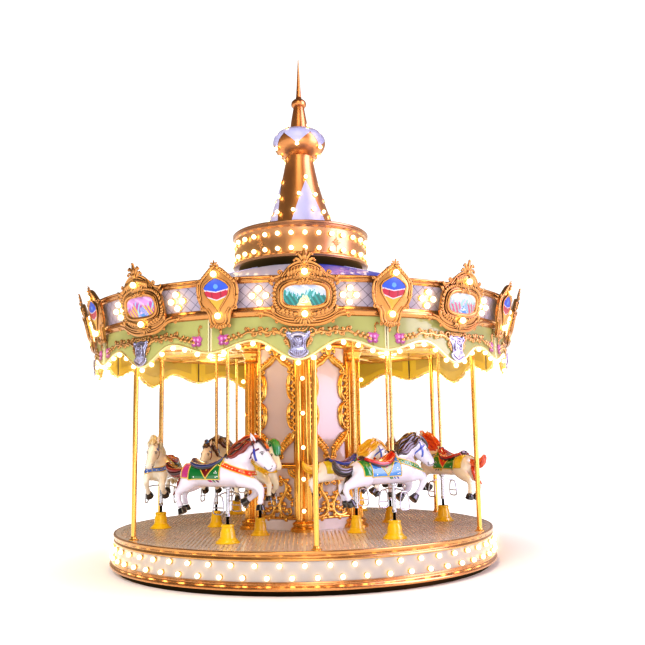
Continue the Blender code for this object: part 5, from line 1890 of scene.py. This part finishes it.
def lay_mane(shape, generator):
    """Heavy waved locks side by side from the poll to the withers, with bright streaks along the crest."""
    upper = [(0.345, 1.288), (0.3, 1.306), (0.235, 1.308), (0.165, 1.29), (0.1, 1.252), (0.048, 1.198),
             (0.02, 1.14)]
    lower = [(0.285, 1.262), (0.255, 1.24), (0.215, 1.208), (0.172, 1.166), (0.125, 1.142), (0.07, 1.132),
             (0.022, 1.128)]
    steps = 26
    top = smooth_path(upper, steps)
    foot = smooth_path(lower, steps)
    rows = 5
    for side in (-1, 1):
        for row in range(rows):
            share = (row + 0.35) / rows
            last = steps - generator.choice((0, 1, 3))
            swing = generator.uniform(0, 2 * math.pi)
            path = []
            radii = []
            for step in range(last + 1):
                x = between(top[step][0], foot[step][0], share)
                z = between(top[step][1], foot[step][1], share)
                wave = 0.0075 * math.sin(swing + step * 0.62)
                out = 0.006 + 0.06 * share ** 0.7
                path.append(Vector((x, side * (out + 0.005 * math.sin(step * 0.45 + swing)), z + wave)))
                radii.append(0.0245 * (0.35 + 0.65 * math.sin(math.pi * min(1.0,
                                                                            (step + 2) / (last
                                                                                          + 3))) ** 0.5))
            path.append(path[-1] + Vector((-0.01, side * 0.006, 0.004)))
            radii.append(0.003)
            shape.tube(path, radii, 10, MANE if row % 2 else MANE_LIGHT, flat=0.8, up=Vector((0, side, 0)))
            if row < 3:
                ridge = [point + Vector((0, side * 0.016 * share,
                                         0.019 * (1 - share * 0.5))) for point in path[2:-3]]
                narrow = 0.42 - 0.1 * row
                shape.tube(ridge, [radius * narrow for radius in radii[2:-3]], 6, STREAK)


FORELOCKS = {3: "stand", 6: "stand", 7: "quiff", 12: "stand"}


def lay_forelock(shape, manner):
    """The hair between the ears: combed flat, standing up, or rolled into one great quiff."""
    if manner == "quiff":
        roll = smooth_path([(0.292, 1.292), (0.335, 1.318), (0.388, 1.306), (0.424, 1.262), (0.438, 1.212),
                            (0.458, 1.172)], 18)
        for shift, size, paint in ((-0.022, 0.8, MANE), (0.022, 0.8, MANE), (0.0, 1.0, MANE_LIGHT)):
            radii = [size * between(0.05, 0.03, place / 18)
                     * (0.35 + 0.65 * math.sin(math.pi * (place + 1.5) / 21) ** 0.6)
                     for place in range(19)]
            shape.tube([Vector((x, shift, z)) for x, z in roll], radii, 14, paint)
            shape.tube([Vector((x + 0.012, shift * 1.5, z + 0.02)) for x, z in roll[2:-4]], 0.01 * size, 8,
                       STREAK)
        return
    if manner == "stand":
        for count in range(7):
            lean = (count - 3) / 3
            path = [Vector((0.3 + 0.01 * lean ** 2, 0.01 * lean, 1.285)),
                    Vector((0.312, 0.018 * lean, 1.325)),
                    Vector((0.326 + 0.016 * (count % 2), 0.03 * lean, 1.358 - 0.014 * lean ** 2))]
            shape.tube(path, [0.012, 0.013, 0.002], 8, (MANE, MANE_LIGHT, STREAK)[count % 3])
    for row in range(-1, 2):
        lock = smooth_path([(0.275, 1.3), (0.325, 1.296), (0.372, 1.264), (0.414, 1.214),
                            (0.428, 1.176 + 0.012 * abs(row))], 14)
        path = [Vector((x, row * 0.018 * (0.7 + 0.4 * place / 14), z)) for place, (x, z) in enumerate(lock)]
        radii = [0.017 * math.sin(math.pi * (0.16 + 0.8 * place / 14)) + 0.002 for place in range(15)]
        if manner == "stand":
            path, radii = path[:9], radii[:8] + [0.002]
        shape.tube(path, radii, 8, MANE if row % 2 else MANE_LIGHT)
        shape.tube([point + Vector((0.006, 0, 0.011)) for point in path[1:-2]], 0.006, 6, STREAK)


def lay_tail(shape, generator):
    """A bound tail that lifts and curls, with a few locks that fall."""
    rise = smooth_path([(-0.44, 1.03), (-0.49, 1.003), (-0.56, 0.992), (-0.625, 1.008), (-0.662, 1.04),
                        (-0.68, 1.076)], 20)
    fall = smooth_path([(-0.47, 0.985), (-0.51, 0.935), (-0.53, 0.885), (-0.548, 0.83), (-0.592, 0.785)],
                       16)
    locks = 7
    for count in range(locks):
        turn = 2 * math.pi * count / locks
        path = []
        radii = []
        for place, (x, z) in enumerate(rise):
            spread = 0.027 * math.sin(math.pi * (0.1 + 0.75 * place / 20))
            twist = turn + place * 0.08
            path.append(Vector((x, spread * math.cos(twist), z + spread * 1.1 * math.sin(twist))))
            radii.append(0.021 * math.sin(math.pi * (0.15 + 0.74 * place / 20)) + 0.002)
        shape.tube(path, radii, 8, MANE if count % 2 else MANE_LIGHT)
        if count in (1, 2):
            ridge = [point + Vector((0, 0.014 * math.cos(turn),
                                     0.016 * math.sin(turn))) for point in path[2:-2]]
            shape.tube(ridge, 0.0045, 6, STREAK)
    for count in range(4):
        shift = (count - 1.5) * 0.018
        path = [Vector((x + generator.uniform(-0.003, 0.003), shift * (0.6 + 0.5 * place / 16),
                        z + 0.004 * count))
                for place, (x, z) in enumerate(fall)]
        radii = [0.017 * math.sin(math.pi * (0.16 + 0.8 * place / 16)) + 0.002 for place in range(17)]
        shape.tube(path, radii, 8, MANE if count % 2 else MANE_LIGHT)


def lay_hooves(shape, legs):
    """Black hooves with flat soles and a white fetlock ridge."""
    for side, _, (top_x, top_z, sole_x, sole_z) in legs:
        y = side * 0.08
        top = Vector((top_x, y, top_z))
        sole = Vector((sole_x, y, sole_z))
        path = [top, top.lerp(sole, 0.15), top.lerp(sole, 0.55), top.lerp(sole, 0.94), sole]
        shape.tube(path, [0.03, 0.0355, 0.04, 0.0445, 0.041], 16, HOOF)


def horse_frame(number):
    """Where a horse stands: its move, its turn and its size."""
    inner = number > 6
    orbit = HORSE_ORBITS[inner]
    angle = HORSE_FIRST_ANGLE + 60 * ((number - 1) % 6)
    scale = INNER_SCALE if inner else 1.0
    heading = math.radians(angle + HORSE_TURNS[number - 1])
    return Matrix.Translation(polar(orbit, angle)) @ Matrix.Rotation(heading, 4, "Z"), scale


def stood(place, scale):
    """Moves a shape from the workbench to its place on the ride."""
    def move(point):
        return place @ Vector((point.x * scale, point.y * scale,
                               HORSE_LIFT + (point.z - HORSE_LIFT) * scale))
    return move


def make_horses():
    """Twelve painted gallopers with their tubes, footrests, poles and boots."""
    generator = random.Random(12)
    groomed = []
    for legs in LEGS:
        horse = horse_skin(legs)
        groom = Groom(horse)
        tack = Shape()
        lay_blanket(tack, groom)
        lay_seat(tack)
        lay_collar(tack, groom)
        lay_bridle(tack, groom)
        lay_mane(tack, generator)
        lay_tail(tack, generator)
        lay_hooves(tack, legs)
        horse.add(tack)
        groomed.append(horse)
    for number in range(1, 13):
        place, scale = horse_frame(number)
        body = f"galloper_{number}"
        model = Shape()
        model.add(groomed[(number - 1) % 2])
        lay_forelock(model, FORELOCKS.get(number, "flat"))
        horse = model.moved(stood(place, scale))
        shades = {**SCHEMES[HORSE_SCHEMES[number - 1]], **SHARED_SHADES}
        palette = [colour(shades[role]) for role in range(ROLE_COUNT)]
        settle(horse.piece(f"painted_horse_{number}", HORSE_PAINT, 50, palette, merge=False), "white_gloss",
               f"horse_{number}", body=body)
        make_horse_stand(number, place, scale, body)


def make_horse_stand(number, place, scale, body):
    """Lower tube, collar and wire footrests, the twisted pole, and the boot on the deck."""
    stand = Shape()
    tube_top = 0.93
    bore = 0.0145
    stand.turned([(0.019, 0.6), (0.019, tube_top), (bore, tube_top), (bore, 0.6)], 24)
    stand.turned([(0.0195, 0.842), (0.03, 0.846), (0.032, 0.856), (0.03, 0.868), (0.0195, 0.874)], 24)
    stand.turned([(0.0192, 0.6), (0.023, 0.602), (0.023, 0.622), (0.0192, 0.626)], 24)
    for side in (-1, 1):
        loop = []
        for step in range(40):
            turn = 2 * math.pi * step / 40
            c, s = math.cos(turn), math.sin(turn)
            x = 0.052 * math.copysign(abs(c) ** 0.55, c)
            z = 0.715 + 0.082 * math.copysign(abs(s) ** 0.55, s)
            loop.append(Vector((x * (1 - 2.5 * (z - 0.715)), side * (0.15 + 0.04 * (0.797 - z)), z)))
        loop_tube(stand, loop, 0.0066, 8, 1.0)
        wire = [(0.016, 0.812), (0.04, 0.816), (0.09, 0.812), (0.13, 0.804), (0.15, 0.797)]
        stand.tube([Vector((0, side * y, z)) for y, z in smooth_path(wire, 14)], 0.0064, 8)
        stand.tube([Vector((-0.06, side * 0.154, 0.69)), Vector((0.06, side * 0.154, 0.69))], 0.0056, 8)
    moved = stand.moved(lambda point: place @ point)
    settle(moved.piece(f"horse_stand_{number}", CHROME, 50), "black_steel", body=body)

    pole = Shape()
    rows = []
    foot = HORSE_LIFT + scale * (1.13 - HORSE_LIFT)
    turns = 9
    steps = 110
    sides = 20
    for step in range(steps + 1):
        share = step / steps
        height = between(foot, POLE_TOP, share)
        row = []
        for side in range(sides):
            turn = 2 * math.pi * side / sides
            ridge = 0.0011 * abs(math.cos(2 * (turn - 2 * math.pi * turns * share))) ** 2
            row.append(Vector(((0.015 + ridge) * math.cos(turn), (0.015 + ridge) * math.sin(turn), height)))
        rows.append(row)
    pole.band(rows, caps=True)
    moved = pole.moved(lambda point: place @ point)
    settle(moved.piece(f"twisted_pole_{number}", BRASS, 40), "pole_brass", f"horse_pole_{number}",
           body=body)

    foot = DECK_TOP + 0.0003
    flange = 0.112 * scale
    bell = [(0.016, foot), (flange, foot), (flange + 0.001, foot + 0.005), (flange - 0.003, foot + 0.01)]
    bell += [(flange - 0.014, foot + 0.013), (flange - 0.017, foot + 0.022)]
    bell += ogee((flange - 0.022, foot + 0.026), (0.072 * scale, foot + 0.05)) + [(0.07 * scale,
                                                                                   foot + 0.07)]
    bell += ogee((0.068 * scale, foot + 0.09), (0.056 * scale, foot + 0.138))
    bell += [(0.058 * scale, foot + 0.146), (0.06 * scale, foot + 0.15), (0.058 * scale, foot + 0.16),
             (0.05 * scale, foot + 0.166), (0.016, foot + 0.166)]
    boot = Shape()
    boot.turned(bell, 40)
    for bolt in range(6):
        boot.ball(polar(flange - 0.009, bolt * 60, foot + 0.014), (0.005, 0.005, 0.004), sides=8, rings=4)
    moved = boot.moved(lambda point: place @ point)
    settle(moved.piece(f"deck_boot_{number}", YELLOW, 35), "yellow_moulding", f"boot_{number}")
    rod = Shape()
    rod.turned([(0.0135, foot + 0.1), (0.0135, 0.796), (0.011, 0.8), (0.0005, 0.8), (0.0005, foot + 0.1)],
               20)
    moved = rod.moved(lambda point: place @ point)
    settle(moved.piece(f"guide_rod_{number}", BLACK, 35), "black_steel")


# Floor, light and camera

def sky_ramp(tree, stops):
    """A colour ramp of two stops for the studio's backdrop."""
    made = tree.nodes.new("ShaderNodeValToRGB")
    for element, (place, shade) in zip(made.color_ramp.elements, stops):
        element.position = place
        element.color = shade
    return made


def make_stage():
    """A pale floor, soft light and the camera at the photograph's angle."""
    floor = Shape()
    reach = 60.0
    floor.sheet(lambda u, v: Vector((between(-reach, reach, u), between(-reach, reach, v), 0)), 1, 1)
    # The floor glows: faintly by the ride and fully from about 3.7 m out, so that it fades into the white
    # backdrop. This glow is light painted into the floor.
    finish = Finish("pale_floor")
    cloud = finish.noise(0.4)
    where = finish.node("VectorMath", {"operation": "LENGTH"}, {0: finish.place()}, "Value")
    floor_glow_share = ((where - 2.1) / 1.6).clamped()
    paper = finish.done(Base_Color=finish.blend(cloud, (0.93, 0.93, 0.93), (0.9, 0.9, 0.9)), Roughness=0.8,
                        Emission_Color=finish.blend(floor_glow_share, (0.1, 0.1, 0.1), (0.75, 0.75, 0.75)))
    finish.shader.inputs["Emission Strength"].default_value = 1.0
    floor.piece("pale_floor", paper, merge=False)

    scene = bpy.context.scene
    world = bpy.data.worlds.new("studio")
    scene.world = world
    world.use_nodes = True
    tree = world.node_tree
    sky = tree.nodes.new("ShaderNodeTexCoord")
    split = tree.nodes.new("ShaderNodeSeparateXYZ")
    ramp = sky_ramp(tree, ((0.3, (0.46, 0.44, 0.46, 1)), (0.75, (0.1, 0.09, 0.1, 1))))
    tree.links.new(sky.outputs["Generated"], split.inputs[0])
    tree.links.new(split.outputs["Z"], ramp.inputs["Fac"])
    backdrop = tree.nodes.new("ShaderNodeMix")
    backdrop.data_type = "RGBA"
    tree.links.new(tree.nodes.new("ShaderNodeLightPath").outputs["Is Camera Ray"], backdrop.inputs[0])
    side = sky_ramp(tree, ((0.0, (0.6, 0.5, 0.42, 1)), (0.7, (1.0, 0.9, 1.0, 1))))
    tinted = tree.nodes.new("ShaderNodeMix")
    tinted.data_type = "RGBA"
    tinted.blend_type = "MULTIPLY"
    tinted.inputs[0].default_value = 1.0
    tree.links.new(split.outputs["X"], side.inputs["Fac"])
    tree.links.new(ramp.outputs["Color"], tinted.inputs[6])
    tree.links.new(side.outputs["Color"], tinted.inputs[7])
    tree.links.new(tinted.outputs[2], backdrop.inputs[6])
    backdrop.inputs[7].default_value = (1, 1, 1, 1)
    tree.links.new(backdrop.outputs[2], tree.nodes["Background"].inputs["Color"])
    tree.nodes["Background"].inputs["Strength"].default_value = 1.0

    lights = (("key", "AREA", (-3.6, -10.4, 7.5), 330, (5.0, 5.0), (1.0, 0.97, 0.92), "lights"),
              ("lilac_side", "AREA", (8.1, -3.9, 4.6), 200, (2.4, 8.5), (0.92, 0.84, 1.0), "lights"),
              ("lilac_card", "AREA", (8.0, -3.4, 6.0), 1300, (6.0, 12.0), (0.8, 0.66, 1.0), "mirrors"),
              ("warm_card", "AREA", (-0.8, -9.5, 8.5), 380, (4.6, 9.0), (1.0, 0.86, 0.6), "mirrors"),
              ("front_soft", "AREA", (1.0, -9.5, 1.2), 60, (3.0, 2.0), (1.0, 0.96, 0.94), "both"),
              ("day", "SUN", (-4.0, -6.0, 9.0), 1.6, 0.6, (1.0, 0.98, 0.95), "lights"))
    for name, kind, spot, power, size, tint, use in lights:
        light = bpy.data.lights.new(name, kind)
        light.energy = power
        light.color = tint
        if kind == "SUN":
            light.angle = size
        else:
            light.shape = "RECTANGLE"
            light.size, light.size_y = size
        placed = bpy.data.objects.new(name, light)
        placed.location = spot
        placed.visible_glossy = use != "lights"
        placed.visible_diffuse = use != "mirrors"
        placed.rotation_euler = (Vector((0, 0, 2.0)) - Vector(spot)).to_track_quat("-Z", "Y").to_euler()
        scene.collection.objects.link(placed)
    for count in range(PANEL_COUNT):
        light = bpy.data.lights.new(f"canopy_glow_{count + 1}", "POINT")
        light.energy = 4.5
        light.shadow_soft_size = 0.12
        light.color = (1.0, 0.8, 0.42)
        placed = bpy.data.objects.new(f"canopy_glow_{count + 1}", light)
        placed.location = polar(1.72, (count + 0.5) * PANEL_ANGLE, CEILING_LOW - 0.1)
        scene.collection.objects.link(placed)

    distance = 8.699
    height = 1.33
    pitch, roll, yaw = 0.1424, -0.0172, 0.0271
    forward = Vector((math.sin(yaw) * math.cos(pitch), math.cos(yaw) * math.cos(pitch), math.sin(pitch)))
    right = Vector((math.cos(yaw), -math.sin(yaw), 0))
    up = right.cross(forward)
    tilted_right = right * math.cos(roll) + up * math.sin(roll)
    tilted_up = -right * math.sin(roll) + up * math.cos(roll)
    camera = bpy.data.objects.new("camera", bpy.data.cameras.new("camera"))
    sensor = 36.0
    focal_pixels = 779.2375
    picture_pixels = 645
    camera.data.sensor_width = sensor
    camera.data.lens = sensor * focal_pixels / picture_pixels
    camera.matrix_world = Matrix((
        (tilted_right.x, tilted_up.x, -forward.x, 0), (tilted_right.y, tilted_up.y, -forward.y, -distance),
        (tilted_right.z, tilted_up.z, -forward.z, height), (0, 0, 0, 1)))
    scene.collection.objects.link(camera)
    scene.camera = camera
    scene.view_settings.view_transform = "Standard"
    scene.view_settings.look = "Medium High Contrast"

    scene.use_nodes = True
    nodes = scene.node_tree.nodes
    nodes.clear()
    source = nodes.new("CompositorNodeRLayers")
    glare = nodes.new("CompositorNodeGlare")
    result = nodes.new("CompositorNodeComposite")
    glare.glare_type = "BLOOM"
    glare.quality = "HIGH"
    for name, value in (("Threshold", 1.9), ("Smoothness", 0.1), ("Strength", 1.2), ("Size", 0.08)):
        glare.inputs[name].default_value = value
    glare.inputs["Tint"].default_value = (1.0, 0.86, 0.6, 1.0)
    scene.node_tree.links.new(source.outputs["Image"], glare.inputs["Image"])
    scene.node_tree.links.new(glare.outputs["Image"], result.inputs["Image"])


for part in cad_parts["base_frame"].material_slots:
    part.material = BLACK
make_platform()
make_rim_poles()
make_pillars()
make_column_panels()
make_ceiling()
make_valance()
make_cornice()
make_roof()
make_crown()
make_spire()
make_horses()
make_lamps()
make_stage()
